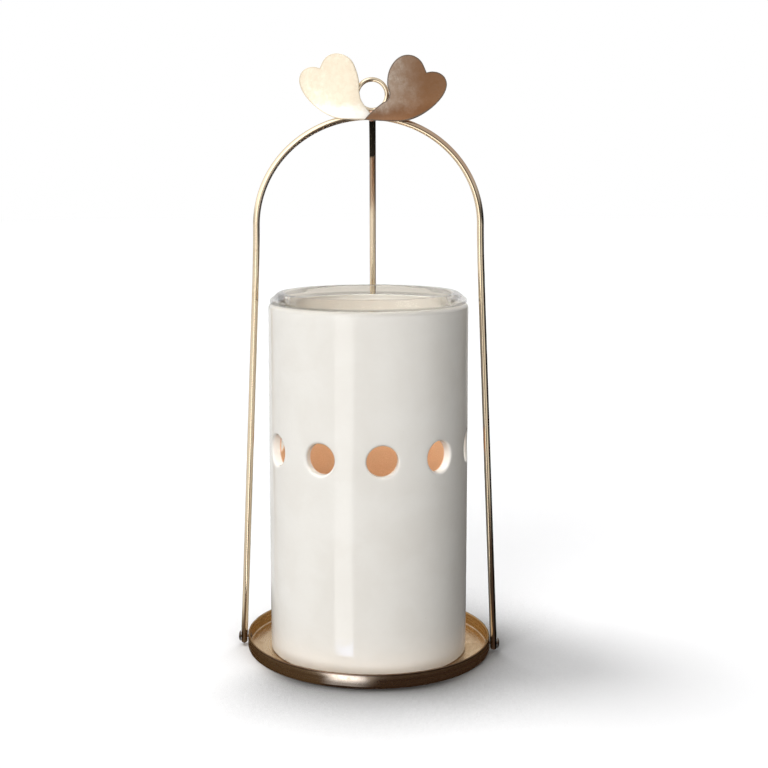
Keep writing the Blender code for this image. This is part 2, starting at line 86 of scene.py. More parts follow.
def turned(outline, segments):
    """Corners and faces of a shape turned about Z. An outline that starts on the axis also ends there."""
    verts = []
    rings = []
    for radius, height in outline:
        first = len(verts)
        if radius < WELD_DISTANCE:
            rings.append([first] * segments)
            verts.append(Vector((0, 0, height)))
            continue
        rings.append(range(first, first + segments))
        for step in range(segments):
            angle = math.tau * step / segments
            verts.append(Vector((radius * math.cos(angle), radius * math.sin(angle), height)))
    if outline[0][0] >= WELD_DISTANCE:
        rings.append(rings[0])
    faces = []
    for ring, following in zip(rings, rings[1:]):
        for step in range(segments):
            beside = (step + 1) % segments
            corners = (ring[step], ring[beside], following[beside], following[step])
            faces.append(list(dict.fromkeys(corners)))
    return verts, faces


def add_piece(name, verts, faces, material, runs=None):
    """A mesh with smooth sides and crisp corners. Runs gives each face corner's place round and along it."""
    mesh = bpy.data.meshes.new(name)
    mesh.from_pydata(verts, [], faces)
    if runs:
        layer = mesh.uv_layers.new(name="run")
        for corner, place in zip(layer.data, runs):
            corner.uv = place
    shape = bmesh.new()
    shape.from_mesh(mesh)
    bmesh.ops.remove_doubles(shape, verts=shape.verts, dist=WELD_DISTANCE)
    bmesh.ops.recalc_face_normals(shape, faces=shape.faces)
    shape.to_mesh(mesh)
    shape.free()
    mesh.shade_smooth()
    mesh.set_sharp_from_angle(angle=CRISP_ANGLE)
    mesh.materials.append(material)
    piece = bpy.data.objects.new(name, mesh)
    bpy.context.scene.collection.objects.link(piece)
    return piece


def add_node(tree, kind, inputs=None, **settings):
    """A new node. An input that is given a socket is joined to it, and any other value is set on it."""
    node = tree.nodes.new("ShaderNode" + kind)
    for key, value in settings.items():
        setattr(node, key, value)
    for key, value in (inputs or {}).items():
        if isinstance(value, bpy.types.NodeSocket):
            tree.links.new(value, node.inputs[key])
        else:
            node.inputs[key].default_value = value
    return node


def sum_of(operation, *values):
    """The output of a Math node, in the tree of the first socket among the values."""
    tree = next(value.id_data for value in values if isinstance(value, bpy.types.NodeSocket))
    return add_node(tree, "Math", dict(enumerate(values)), operation=operation).outputs[0]


def product(first, *others):
    """Values or masks multiplied together."""
    for other in others:
        first = sum_of("MULTIPLY", first, other)
    return first


def larger(first, *others):
    """The largest of the values."""
    for other in others:
        first = sum_of("MAXIMUM", first, other)
    return first


def length_of(vector):
    """The length of a vector."""
    return add_node(vector.id_data, "VectorMath", {0: vector}, operation="LENGTH").outputs["Value"]


def eased(value, low, high, out_low=0.0, out_high=1.0):
    """A value that goes smoothly from out_low to out_high while the given one goes from low to high."""
    inputs = {"Value": value, "From Min": low, "From Max": high, "To Min": out_low, "To Max": out_high}
    return add_node(value.id_data, "MapRange", inputs, interpolation_type="SMOOTHSTEP").outputs["Result"]


def colour_between(share, first, second):
    """A colour that is the first where the share is 0 and the second where it is 1."""
    node = add_node(share.id_data, "Mix", {0: share}, data_type="RGBA")
    for index, colour in ((6, first), (7, second)):
        if isinstance(colour, bpy.types.NodeSocket):
            share.id_data.links.new(colour, node.inputs[index])
        else:
            node.inputs[index].default_value = (*colour, 1.0)
    return node.outputs[2]


def washed(colour, mask, share, over):
    """A colour with another laid over it, through a mask and as strongly as the share."""
    return colour_between(product(mask, share), colour, over)


def clouds(place, scale, detail=3.0, roughness=0.5, distortion=0.0):
    """Soft noise from 0 to 1 at a scale per metre."""
    inputs = {"Vector": place, "Scale": scale, "Detail": detail}
    inputs |= {"Roughness": roughness, "Distortion": distortion}
    return add_node(place.id_data, "TexNoise", inputs).outputs[0]


def raised(height, distance, strength=1.0, normal=None):
    """A normal from a Bump node."""
    inputs = {"Height": height, "Distance": distance, "Strength": strength}
    if normal:
        inputs["Normal"] = normal
    return add_node(height.id_data, "Bump", inputs).outputs["Normal"]


def own_place(tree):
    """A piece's own place."""
    return add_node(tree, "TexCoord").outputs["Object"]


def place_round_axis(tree):
    """A piece's own place, the node with the place's three parts, and the distance from the upright axis."""
    place = own_place(tree)
    axes = add_node(tree, "SeparateXYZ", {0: place})
    flat = add_node(tree, "CombineXYZ", {0: axes.outputs[0], 1: axes.outputs[1]}).outputs[0]
    return place, axes, length_of(flat)


def new_group(name, output, **inputs):
    """An empty shader group with one output and with number inputs, each with its first value."""
    group = bpy.data.node_groups.new(name, "ShaderNodeTree")
    for title, value in inputs.items():
        socket = group.interface.new_socket(title, in_out="INPUT", socket_type="NodeSocketFloat")
        socket.default_value = value
    group.interface.new_socket(output, in_out="OUTPUT", socket_type="NodeSocketFloat")
    start = group.nodes.new("NodeGroupInput")
    end = group.nodes.new("NodeGroupOutput")
    return group, start, end


def use_group(tree, group, **values):
    """Places a group in a material with its own values."""
    node = tree.nodes.new("ShaderNodeGroup")
    node.node_tree = group
    for key, value in values.items():
        node.inputs[key].default_value = value
    return node


def make_lathe_marks():
    """Fine rings left by a brush held on the turning piece, and the few deeper ones among them."""
    group, start, end = new_group("lathe marks", "Marks", Fineness=5000.0, Wander=1.5)
    _, axes, radius = place_round_axis(group)
    angle = sum_of("ARCTAN2", axes.outputs[1], axes.outputs[0])
    rings = add_node(
        group,
        "CombineXYZ",
        {
            0: product(radius, start.outputs["Fineness"]),
            1: product(axes.outputs[2], start.outputs["Fineness"]),
            2: product(angle, start.outputs["Wander"]),
        },
    ).outputs[0]
    fine = clouds(rings, 1.0, 4.0, 0.7)
    broad = clouds(rings, 0.16, 2.0, 0.5)
    marks = sum_of("MULTIPLY_ADD", broad, 0.6, product(fine, 0.4))
    group.links.new(marks, end.inputs[0])
    return group


def make_edge_wear():
    """A mask of the corners that hands and cloths rub bright, broken up along their length."""
    group, start, end = new_group("edge wear", "Mask", Width=0.0004, Breaks=900.0)
    soft = add_node(group, "Bevel", {"Radius": start.outputs["Width"]}, samples=4).outputs[0]
    true = add_node(group, "NewGeometry").outputs["Normal"]
    facing = add_node(group, "VectorMath", {0: soft, 1: true}, operation="DOT_PRODUCT").outputs["Value"]
    edge = eased(facing, 0.995, 0.88)
    place = own_place(group)
    breaks = eased(clouds(place, start.outputs["Breaks"], 4.0, 0.6), 0.32, 0.62)
    group.links.new(product(edge, breaks), end.inputs[0])
    return group


def make_tarnish():
    """A mask of the cloudy, slightly browned patches that fingers and warm oil leave on plated brass."""
    group, start, end = new_group("tarnish", "Mask", Patches=90.0, Reach=0.5)
    place = own_place(group)
    broad = clouds(place, start.outputs["Patches"], 5.0, 0.62, 0.6)
    speckle_scale = product(start.outputs["Patches"], 9.0)
    speckle = clouds(place, speckle_scale, 3.0, 0.7)
    both = sum_of("MULTIPLY_ADD", speckle, 0.35, product(broad, 0.65))
    threshold = sum_of("SUBTRACT", 0.75, product(start.outputs["Reach"], 0.5))
    top = sum_of("ADD", threshold, 0.16)
    group.links.new(eased(both, threshold, top), end.inputs[0])
    return group


lathe_marks = make_lathe_marks()
edge_wear = make_edge_wear()
tarnish = make_tarnish()


def new_finish(name):
    """A new material, its node tree and its shader."""
    material = bpy.data.materials.new(name)
    material.use_nodes = True
    tree = material.node_tree
    return material, tree, tree.nodes["Principled BSDF"]


def join(shader, **sockets):
    """Joins outputs to the shader's inputs, which are named with underscores for spaces."""
    for key, socket in sockets.items():
        shader.id_data.links.new(socket, shader.inputs[key.replace("_", " ")])


def make_tray_finish():
    """Rosy outside and deeper gold inside its wall, where the floor is painted paler as a painted reflection
    of the glaze. A painted shade darkens the lip, and marks run round.
    """
    material, tree, shader = new_finish("brushed pale gold sheet")
    marks = use_group(tree, lathe_marks, Fineness=5200.0, Wander=1.2).outputs[0]
    stain = use_group(tree, tarnish, Patches=70.0, Reach=0.55).outputs[0]
    worn = use_group(tree, edge_wear, Width=0.0005, Breaks=700.0).outputs[0]
    _, axes, radius = place_round_axis(tree)
    outer = eased(radius, TRAY_RADIUS - 0.0007, TRAY_RADIUS - 0.0005)
    inner = eased(radius, TRAY_RADIUS - 0.0006, TRAY_RADIUS - TRAY_SHEET)
    lip = product(outer, eased(axes.outputs[2], 0.00575, 0.00615))
    plated = colour_between(eased(marks, 0.35, 0.65), (0.50, 0.36, 0.215), (0.60, 0.44, 0.27))
    # Inside the wall the floor is painted paler and greyer than the wall, a painted reflection of the glaze
    # on it.
    up_wall = eased(axes.outputs[2], 0.0010, 0.0016)
    inside = colour_between(up_wall, (0.70, 0.58, 0.45), (0.58, 0.40, 0.19))
    plated = washed(plated, inner, 0.7, inside)
    stained = washed(plated, stain, 0.55, (0.36, 0.22, 0.10))
    marked = washed(stained, worn, 0.3, (0.72, 0.56, 0.38))
    # Painted shade: a dark line along the top of the lip.
    marked = washed(marked, lip, 0.95, (0.150, 0.095, 0.062))
    gloss = eased(marks, 0.3, 0.7, 0.20, 0.34)
    gloss = sum_of("MULTIPLY_ADD", stain, 0.10, gloss)
    shader.inputs["Metallic"].default_value = 1.0
    shader.inputs["Anisotropic"].default_value = 0.6
    shader.inputs["Specular Tint"].default_value = (0.72, 0.58, 0.42, 1)
    tangent = add_node(tree, "Tangent", direction_type="RADIAL", axis="Z").outputs[0]
    join(
        shader,
        Base_Color=marked,
        Roughness=gloss,
        Normal=raised(marks, 0.00002, 0.5),
        Tangent=tangent,
    )
    return material


tray_inner = TRAY_RADIUS - TRAY_SHEET
tray_outline = rounded_outline(
    (
        (0, 0, 0),
        (TRAY_RADIUS, 0, TRAY_CORNER_FILLET),
        (TRAY_RADIUS, TRAY_RIM_HEIGHT, TRAY_LIP_FILLET),
        (tray_inner, TRAY_RIM_HEIGHT, TRAY_LIP_FILLET),
        (tray_inner, TRAY_SHEET, TRAY_CORNER_FILLET - TRAY_SHEET),
        (0, TRAY_SHEET, 0),
    )
)
tray = add_piece("tray", *turned(divided(tray_outline, 0.004), TRAY_SEGMENTS), make_tray_finish())
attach(tray, "stand")
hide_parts("base_tray")

# Arch and back leg. Both are 3 mm brass wire, bent cold and plated with the tray. One wire makes both side
# legs and the round top, and its feet stand outside the tray's wall. The back leg is soldered to the top.
WIRE_RADIUS = 0.0015
WIRE_SIDES = 48
SPRING_HEIGHT = 0.1955
ARCH_RISE = 0.0480
ARCH_SET_FORWARD = 0.0040
LEG_SPRING_DISTANCE = 0.0500
LEG_RIM_DISTANCE = 0.0578
LEG_EASE_LENGTH = 0.0100
FOOT_LIFT = 0.0006
LEG_STEPS = 56
ARCH_STEPS = 160
BUTT_GAP = 0.0003
BACK_TOP_ASIDE = 0.0020
ARCH_INNER_SIDE = 0.0496
DARK_FROM = 0.2262


def leg_distance(height, rim_distance):
    """How far a leg's centre line is from the middle at a height below the spring of the arch."""

    def eased_drop(drop):
        return drop - LEG_EASE_LENGTH * (1 - math.exp(-drop / LEG_EASE_LENGTH))

    splay = (rim_distance - LEG_SPRING_DISTANCE) / eased_drop(SPRING_HEIGHT - TRAY_RIM_HEIGHT)
    return LEG_SPRING_DISTANCE + splay * eased_drop(SPRING_HEIGHT - height)


def bent_wire(path, plane_normal, radius, closed=False):
    """Corners, faces and runs of a round wire bent along a flat path, with domed ends."""
    stations = []
    count = len(path)
    for index, centre in enumerate(path):
        last = path[index - 1] if closed or index else centre
        following = path[(index + 1) % count] if closed or index < count - 1 else centre
        stations.append((centre, (following - last).normalized(), radius))
    if not closed:
        start, start_way, _ = stations[0]
        end, end_way, _ = stations[-1]
        stations[0] = (start + start_way * radius, start_way, radius)
        stations[-1] = (end - end_way * radius, end_way, radius)
        for step in range(FILLET_STEPS - 1, 0, -1):
            angle = math.pi / 2 * (FILLET_STEPS - step) / FILLET_STEPS
            inset = radius * (1 - math.sin(angle))
            narrowed = radius * math.cos(angle)
            stations.insert(0, (start + start_way * inset, start_way, narrowed))
            stations.append((end - end_way * inset, end_way, narrowed))
    verts = []
    lengths = []
    length = 0.0
    for index, (centre, way, width) in enumerate(stations):
        across = way.cross(plane_normal)
        for side in range(WIRE_SIDES):
            angle = math.tau * side / WIRE_SIDES
            verts.append(centre + (plane_normal * math.cos(angle) + across * math.sin(angle)) * width)
        length += (centre - stations[index - 1][0]).length if index else 0.0
        lengths.append(length)
    faces = []
    runs = []
    for index in range(len(stations) if closed else len(stations) - 1):
        following = (index + 1) % len(stations)
        far = lengths[following] if following else length + (path[0] - path[-1]).length
        for side in range(WIRE_SIDES):
            beside = (side + 1) % WIRE_SIDES
            faces.append(
                (
                    index * WIRE_SIDES + side,
                    index * WIRE_SIDES + beside,
                    following * WIRE_SIDES + beside,
                    following * WIRE_SIDES + side,
                )
            )
            near = lengths[index]
            turn, next_turn = side / WIRE_SIDES, (side + 1) / WIRE_SIDES
            runs += [(turn, near), (next_turn, near), (next_turn, far), (turn, far)]
    if not closed:
        last_ring = (len(stations) - 1) * WIRE_SIDES
        faces += [tuple(range(WIRE_SIDES)), tuple(range(last_ring, last_ring + WIRE_SIDES))]
        runs += [(0.0, 0.0)] * WIRE_SIDES + [(0.0, length)] * WIRE_SIDES
    return verts, faces, runs


def make_draw_marks():
    """Long scratches that the die leaves along a drawn wire."""
    group, start, end = new_group("draw marks", "Marks", Fineness=7.0, Stretch=60.0)
    run = add_node(group, "SeparateXYZ", {0: add_node(group, "UVMap", uv_map="run").outputs[0]})
    turn = product(run.outputs[0], math.tau)
    place = add_node(
        group,
        "CombineXYZ",
        {
            0: product(sum_of("COSINE", turn), start.outputs["Fineness"]),
            1: product(sum_of("SINE", turn), start.outputs["Fineness"]),
            2: product(run.outputs[1], start.outputs["Stretch"]),
        },
    ).outputs[0]
    group.links.new(clouds(place, 1.0, 4.0, 0.65), end.inputs[0])
    return group


draw_marks = make_draw_marks()


def make_wire_finish(name, dark_from=None):
    """Plated wire. Inside the arch's bend it is rougher and its colour carries a painted shade, and the outer
    side of the arch's right part a browner painted shade. On the right leg the side facing right carries a
    near black painted shade and the side facing left a grey one. The back leg is near black from a given
    height up and brown a little way below, where its sides carry a darker painted shade."""
    material, tree, shader = new_finish(name)
    marks = use_group(tree, draw_marks, Fineness=2.6, Stretch=14.0).outputs[0]
    stain = use_group(tree, tarnish, Patches=120.0, Reach=0.45).outputs[0]
    place = own_place(tree)
    across, _, height = add_node(tree, "SeparateXYZ", {0: place}).outputs
    facing = add_node(tree, "SeparateXYZ", {0: add_node(tree, "TexCoord").outputs["Normal"]}).outputs[0]
    plated = colour_between(eased(marks, 0.3, 0.7), (0.76, 0.62, 0.44), (0.84, 0.71, 0.53))
    colour = washed(plated, stain, 0.25, (0.58, 0.42, 0.26))
    gloss = sum_of("MULTIPLY_ADD", stain, 0.03, eased(marks, 0.25, 0.75, 0.08, 0.14))
    above_spring = larger(sum_of("SUBTRACT", height, SPRING_HEIGHT), 0.0)
    over_rise = product(above_spring, LEG_SPRING_DISTANCE / ARCH_RISE)
    from_middle = length_of(add_node(tree, "CombineXYZ", {0: across, 1: over_rise}).outputs[0])
    bent = eased(height, SPRING_HEIGHT - 0.030, SPRING_HEIGHT)
    inner_side = product(eased(from_middle, ARCH_INNER_SIDE, ARCH_INNER_SIDE - 0.0007), bent)
    gloss = sum_of("MULTIPLY_ADD", inner_side, 0.24, gloss)
    # Painted shade: inside the arch's bend the colour is darkened, most on the left half.
    colour = washed(colour, inner_side, eased(across, 0.0, -0.012), (0.20, 0.175, 0.155))
    outer_side = eased(from_middle, ARCH_INNER_SIDE, ARCH_INNER_SIDE + 0.0007)
    outer_right = product(outer_side, eased(across, 0.008, 0.020))
    over_spring = eased(height, SPRING_HEIGHT + 0.008, SPRING_HEIGHT + 0.026)
    # Painted shade: the outer side of the arch's right part is browner above the spring.
    colour = washed(colour, outer_right, over_spring, (0.52, 0.37, 0.26))
    on_right_leg = eased(across, 0.030, 0.040)
    outward = product(eased(facing, 0.32, 0.52), on_right_leg)
    below_bend = eased(height, SPRING_HEIGHT + 0.024, SPRING_HEIGHT + 0.006)
    # Painted shade: the right leg's side that faces right is near black below the bend.
    colour = washed(colour, outward, below_bend, (0.085, 0.068, 0.055))
    inward = product(eased(facing, -0.55, -0.80), on_right_leg)
    # Painted shade: the right leg's side that faces left is grey, fading out above.
    colour = washed(colour, inward, eased(height, 0.160, 0.130), (0.32, 0.29, 0.27))
    shader.inputs["Specular Tint"].default_value = (0.50, 0.44, 0.39, 1)
    if dark_from:
        ragged = sum_of("MULTIPLY_ADD", clouds(place, 500.0), 0.0016, height)
        # The back leg is brown for a little way below its dark top.
        brown_band = eased(ragged, dark_from - 0.028, dark_from - 0.018, 0.0, 0.75)
        colour = colour_between(brown_band, colour, (0.50, 0.33, 0.21))
        # Painted shade: the sides of that brown band are darkened.
        turned_away = eased(sum_of("ABSOLUTE", facing), 0.55, 0.80)
        colour = washed(colour, turned_away, brown_band, (0.10, 0.075, 0.06))
        # The back leg is near black, and not metallic, from the given height up.
        dark_top = eased(ragged, dark_from, dark_from + 0.0014)
        colour = colour_between(dark_top, colour, (0.050, 0.042, 0.030))
        gloss = sum_of("MULTIPLY_ADD", dark_top, 0.30, gloss)
        join(shader, Metallic=sum_of("SUBTRACT", 1.0, dark_top))
        shader.inputs["Specular IOR Level"].default_value = 0.0
    else:
        shader.inputs["Metallic"].default_value = 1.0
    join(shader, Base_Color=colour, Roughness=gloss, Normal=raised(marks, 0.000004, 0.15))
    return material


def leg_path(rim_distance):
    """Distance and height of points up one leg, closer together where it bends."""
    points = []
    for step in range(LEG_STEPS):
        share = 1 - (1 - step / LEG_STEPS) ** 1.6
        height = FOOT_LIFT + (SPRING_HEIGHT - FOOT_LIFT) * share
        points.append((leg_distance(height, rim_distance), height))
    return points


arch_rim_distance = math.sqrt(LEG_RIM_DISTANCE**2 - ARCH_SET_FORWARD**2)
half_arch = leg_path(arch_rim_distance)
for step in range(ARCH_STEPS + 1):
    angle = math.pi / 2 * step / ARCH_STEPS
    half_arch.append((LEG_SPRING_DISTANCE * math.cos(angle), SPRING_HEIGHT + ARCH_RISE * math.sin(angle)))
arch_path = [Vector((-distance, -ARCH_SET_FORWARD, height)) for distance, height in half_arch]
arch_path += [Vector((distance, -ARCH_SET_FORWARD, height)) for distance, height in reversed(half_arch[:-1])]
wire_finish = make_wire_finish("polished pale gold wire")
verts, faces, runs = bent_wire(arch_path, Vector((0, 1, 0)), WIRE_RADIUS)
arch = add_piece("arch", verts, faces, wire_finish, runs)
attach(arch, "stand")
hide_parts("arch_wire")

back_path = [Vector((0, distance, height)) for distance, height in leg_path(LEG_RIM_DISTANCE)]
back_reach = LEG_SPRING_DISTANCE + ARCH_SET_FORWARD
last_angle = math.acos((WIRE_RADIUS + BUTT_GAP) / back_reach)
for step in range(ARCH_STEPS + 1):
    angle = last_angle * step / ARCH_STEPS
    distance = back_reach * math.cos(angle) - ARCH_SET_FORWARD
    aside = BACK_TOP_ASIDE * (1 - distance / LEG_SPRING_DISTANCE)
    back_path.append(Vector((aside, distance, SPRING_HEIGHT + ARCH_RISE * math.sin(angle))))
verts, faces, runs = bent_wire(back_path, Vector((1, 0, 0)), WIRE_RADIUS)
dark_topped_finish = make_wire_finish("pale gold wire with a dark top", DARK_FROM)
back_wire = add_piece("back_wire", verts, faces, dark_topped_finish, runs)
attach(back_wire, "stand")
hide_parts("back_leg")

# Rivets. A small brass rivet goes through the tray's wall and each foot of wire, and is hammered over
# inside and out, which leaves its heads a little uneven. The heads are darker than the wire.
RIVET_HEIGHT = 0.0040
RIVET_SHANK_RADIUS = 0.0006
RIVET_HEAD_RADIUS = 0.0024
RIVET_HEAD_THICKNESS = 0.0009
RIVET_TAIL_RADIUS = 0.0013
RIVET_TAIL_THICKNESS = 0.0006
RIVET_SEAT_GAP = 0.0003
RIVET_SEGMENTS = 36
RIVET_DOME_STEPS = 8
HAMMER_DENT = 0.00007


def dome(radius, base, top):
    """Outline of a low dome, from its edge at base to the axis at top."""
    points = []
    for step in range(RIVET_DOME_STEPS + 1):
        angle = math.pi / 2 * step / RIVET_DOME_STEPS
        points.append(Vector((radius * math.cos(angle), base + (top - base) * math.sin(angle))))
    points[-1].x = 0
    return points


def make_rivet_finish():
    """Dark gold, uneven from the blows and rubbed a little at its edges."""
    material, tree, shader = new_finish("hammered gold rivet")
    place = own_place(tree)
    blows = clouds(place, 1500.0, 2.0, 0.5)
    stain = use_group(tree, tarnish, Patches=400.0, Reach=0.6).outputs[0]
    worn = use_group(tree, edge_wear, Width=0.0003, Breaks=1500.0).outputs[0]
    base = colour_between(product(stain, 0.7), (0.15, 0.105, 0.075), (0.06, 0.040, 0.028))
    colour = washed(base, worn, 0.2, (0.40, 0.30, 0.20))
    shader.inputs["Metallic"].default_value = 1.0
    gloss = eased(blows, 0.3, 0.7, 0.32, 0.50)
    join(shader, Base_Color=colour, Roughness=gloss, Normal=raised(blows, 0.00006, 0.6))
    return material


rivet_finish = make_rivet_finish()
side_distance = leg_distance(RIVET_HEIGHT, arch_rim_distance)
side_azimuth = math.atan2(-ARCH_SET_FORWARD, side_distance)
rivet_places = (
    ("left", math.pi - side_azimuth, math.hypot(side_distance, ARCH_SET_FORWARD)),
    ("right", side_azimuth, math.hypot(side_distance, ARCH_SET_FORWARD)),
    ("back", math.pi / 2, leg_distance(RIVET_HEIGHT, LEG_RIM_DISTANCE)),
)
for name, azimuth, distance in rivet_places:
    tail_seat = TRAY_RADIUS - TRAY_SHEET - RIVET_SEAT_GAP
    head_seat = distance + WIRE_RADIUS + RIVET_SEAT_GAP
    outline = dome(RIVET_TAIL_RADIUS, tail_seat, tail_seat - RIVET_TAIL_THICKNESS)[::-1]
    outline += [Vector((RIVET_SHANK_RADIUS, tail_seat)), Vector((RIVET_SHANK_RADIUS, head_seat))]
    outline += dome(RIVET_HEAD_RADIUS, head_seat, head_seat + RIVET_HEAD_THICKNESS)
    verts, faces = turned(outline, RIVET_SEGMENTS)
    lying = Matrix.Rotation(azimuth, 4, "Z") @ Matrix.Rotation(math.pi / 2, 4, "Y")
    placed = []
    for vert in verts:
        blow = HAMMER_DENT * (noise.noise(vert * 900 + Vector((azimuth, 0, 0))) - 1)
        marked = vert + Vector((0, 0, blow)) if vert.z > head_seat + HAMMER_DENT else vert
        placed.append(lying @ marked + Vector((0, 0, RIVET_HEIGHT)))
    rivet = add_piece(name + "_rivet", placed, faces, rivet_finish)
    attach(rivet, "stand")
    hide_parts(name + "_foot_rivet")

# Hanging ring. 2 mm brass wire is bent round a mandrel, and its cut ends meet at the bottom, where the ring
# is soldered upright on the arch's top.
RING_RADIUS = 0.0067
RING_WIRE_RADIUS = 0.0010
RING_CENTRE = Vector((0.0020, -0.0034, 0.2530))
RING_STEPS = 96
RING_WOBBLE = 0.00012

ring_path = []
for step in range(RING_STEPS):
    angle = math.tau * step / RING_STEPS - math.pi / 2
    radius = RING_RADIUS - RING_WOBBLE * (1 + math.sin(2 * angle + 0.6)) / 2
    ring_path.append(RING_CENTRE + Vector((radius * math.cos(angle), 0, radius * math.sin(angle))))
verts, faces, runs = bent_wire(ring_path, Vector((0, 1, 0)), RING_WIRE_RADIUS, closed=True)
ring = add_piece("ring", verts, faces, wire_finish, runs)
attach(ring, "stand")
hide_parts("hanging_ring")

# Leaves. Two heart-shaped leaves are cut from thin brass sheet, curled back towards their outer lobes and
# soldered by their tips to the front of the arch, the right one over the left. Their faces are satin.
LEAF_LENGTH = 0.0340
LEAF_BREADTH = 0.0260
LEAF_SHEET = 0.0006
LEAF_SWEEP = 0.0090
LEAF_SWEEP_SPAN = 0.0330
LEAF_CURL_HEIGHT = 0.0040
LEAF_SWEEP_POWER = 1.5
LEAF_CURVE_STEPS = 6
LEAF_RULINGS = 12
LEAF_EDGE_ROUND = 0.00018
LEAF_FOOT_HEIGHT = 0.2420
LEAF_FRONT = 0.0055
LEAF_LAYER = 0.0009
LEFT_LEAF_INNER_SIDE = (
    (0.00, 0.00), (0.16, 0.03), (0.31, 0.07), (0.41, 0.16),
    (0.49, 0.27), (0.60, 0.37), (0.74, 0.45), (0.86, 0.44),
    (0.96, 0.37), (1.02, 0.26), (1.03, 0.14), (1.00, 0.00),
)
RIGHT_LEAF_INNER_SIDE = (
    (0.00, 0.00), (0.14, 0.03), (0.29, 0.04), (0.39, 0.03),
    (0.46, 0.09), (0.51, 0.24), (0.62, 0.39), (0.76, 0.47),
    (0.89, 0.46), (0.99, 0.36), (1.03, 0.20), (1.00, 0.00),
)
LEAF_OUTER_SIDE = (
    (0.00, 0.00), (0.22, -0.25), (0.39, -0.42), (0.55, -0.50),
    (0.71, -0.53), (0.87, -0.52), (1.01, -0.47), (1.11, -0.38),
    (1.15, -0.26), (1.13, -0.14), (1.07, -0.05), (1.00, 0.00),
)
LEAF_MIDDLE = (
    (0.00, 0.00), (0.13, -0.04), (0.25, -0.08), (0.35, -0.10),
    (0.45, -0.09), (0.55, -0.06), (0.66, -0.03), (0.76, -0.01),
    (0.85, 0.00), (0.92, 0.00), (0.97, 0.00), (1.00, 0.00),
)


def smooth_curve(points, steps):
    """Points of a smooth curve through the given ones."""
    curve = []
    count = len(points)
    for index in range(count - 1):
        before, start = points[max(index - 1, 0)], points[index]
        end, after = points[index + 1], points[min(index + 2, count - 1)]
        for step in range(steps):
            t = step / steps
            bend = (before * 2 - start * 5 + end * 4 - after) * t**2
            turn = (start * 3 - before - end * 3 + after) * t**3
            curve.append(start + ((end - before) * t + bend + turn) / 2)
    return curve + [points[-1]]


def make_leaf_finish(name, bright, dull, stain_and_shade, edge, tip, patches, lobe_shade):
    """Satin sheet, cross brushed and clouded by handling. The lobe shade gives the x where a darker, browner
    painted shade starts toward the outer lobe, the x where it is full, and its share. The tip has a tone of
    its own: a painted highlight on the left leaf and a darker brown on the right. A painted shade darkens the
    outline."""
    material, tree, shader = new_finish(name)
    place = own_place(tree)
    stretched = add_node(tree, "Mapping", {"Vector": place, "Scale": (2600.0, 2600.0, 700.0)}).outputs[0]
    strokes = clouds(stretched, 1.0, 4.0, 0.65, 0.6)
    mottle = clouds(place, 1300.0, 4.0, 0.7, 0.5)
    brushed = sum_of("MULTIPLY_ADD", mottle, 0.45, product(strokes, 0.55))
    blotches = clouds(place, 430.0, 3.0, 0.6, 0.5)
    tone = sum_of("MULTIPLY_ADD", blotches, 0.55, product(brushed, 0.45))
    stain = use_group(tree, tarnish, Patches=patches, Reach=0.75).outputs[0]
    run = add_node(tree, "UVMap", uv_map="run").outputs[0]
    from_outline = add_node(tree, "SeparateXYZ", {0: run}).outputs[0]
    ragged = sum_of("MULTIPLY_ADD", mottle, 0.0003, from_outline)
    rim = eased(ragged, 0.00075, 0.00045)
    plated = colour_between(eased(tone, 0.42, 0.58), dull, bright)
    clouded = washed(plated, stain, 0.35, stain_and_shade)
    axes = add_node(tree, "SeparateXYZ", {0: place})
    # Painted shade: from the x given as its start, the colour goes darker and browner toward the outer lobe.
    drift = sum_of("MULTIPLY_ADD", clouds(place, 170.0, 3.0, 0.6), 0.010, -0.005)
    outward = sum_of("ADD", axes.outputs[0], drift)
    by_lobe = eased(outward, lobe_shade[0], lobe_shade[1])
    upward = sum_of("ADD", axes.outputs[2], drift)
    by_tip = eased(upward, LEAF_FOOT_HEIGHT + 0.0085, LEAF_FOOT_HEIGHT + 0.0020)
    lobe_shaded = colour_between(product(by_lobe, lobe_shade[2]), clouded, stain_and_shade)
    # On the left leaf the tip tone is a painted highlight; on the right it is a darker brown.
    tip_toned = washed(lobe_shaded, by_tip, 0.9, tip)
    # Painted shade: a darker line along the outline.
    marked = washed(tip_toned, rim, 0.75, edge)
    gloss = eased(strokes, 0.2, 0.8, 0.26, 0.40)
    gloss = sum_of("MULTIPLY_ADD", stain, 0.08, gloss)
    shader.inputs["Metallic"].default_value = 1.0
    join(shader, Base_Color=marked, Roughness=gloss, Normal=raised(brushed, 0.000015, 0.5))
    return material


def reach_from(point, start, end):
    """Distance of a point from a line between two others."""
    along = end - start
    share = min(max((point - start).dot(along) / max(along.length_squared, 1e-18), 0), 1)
    return (point - start - along * share).length


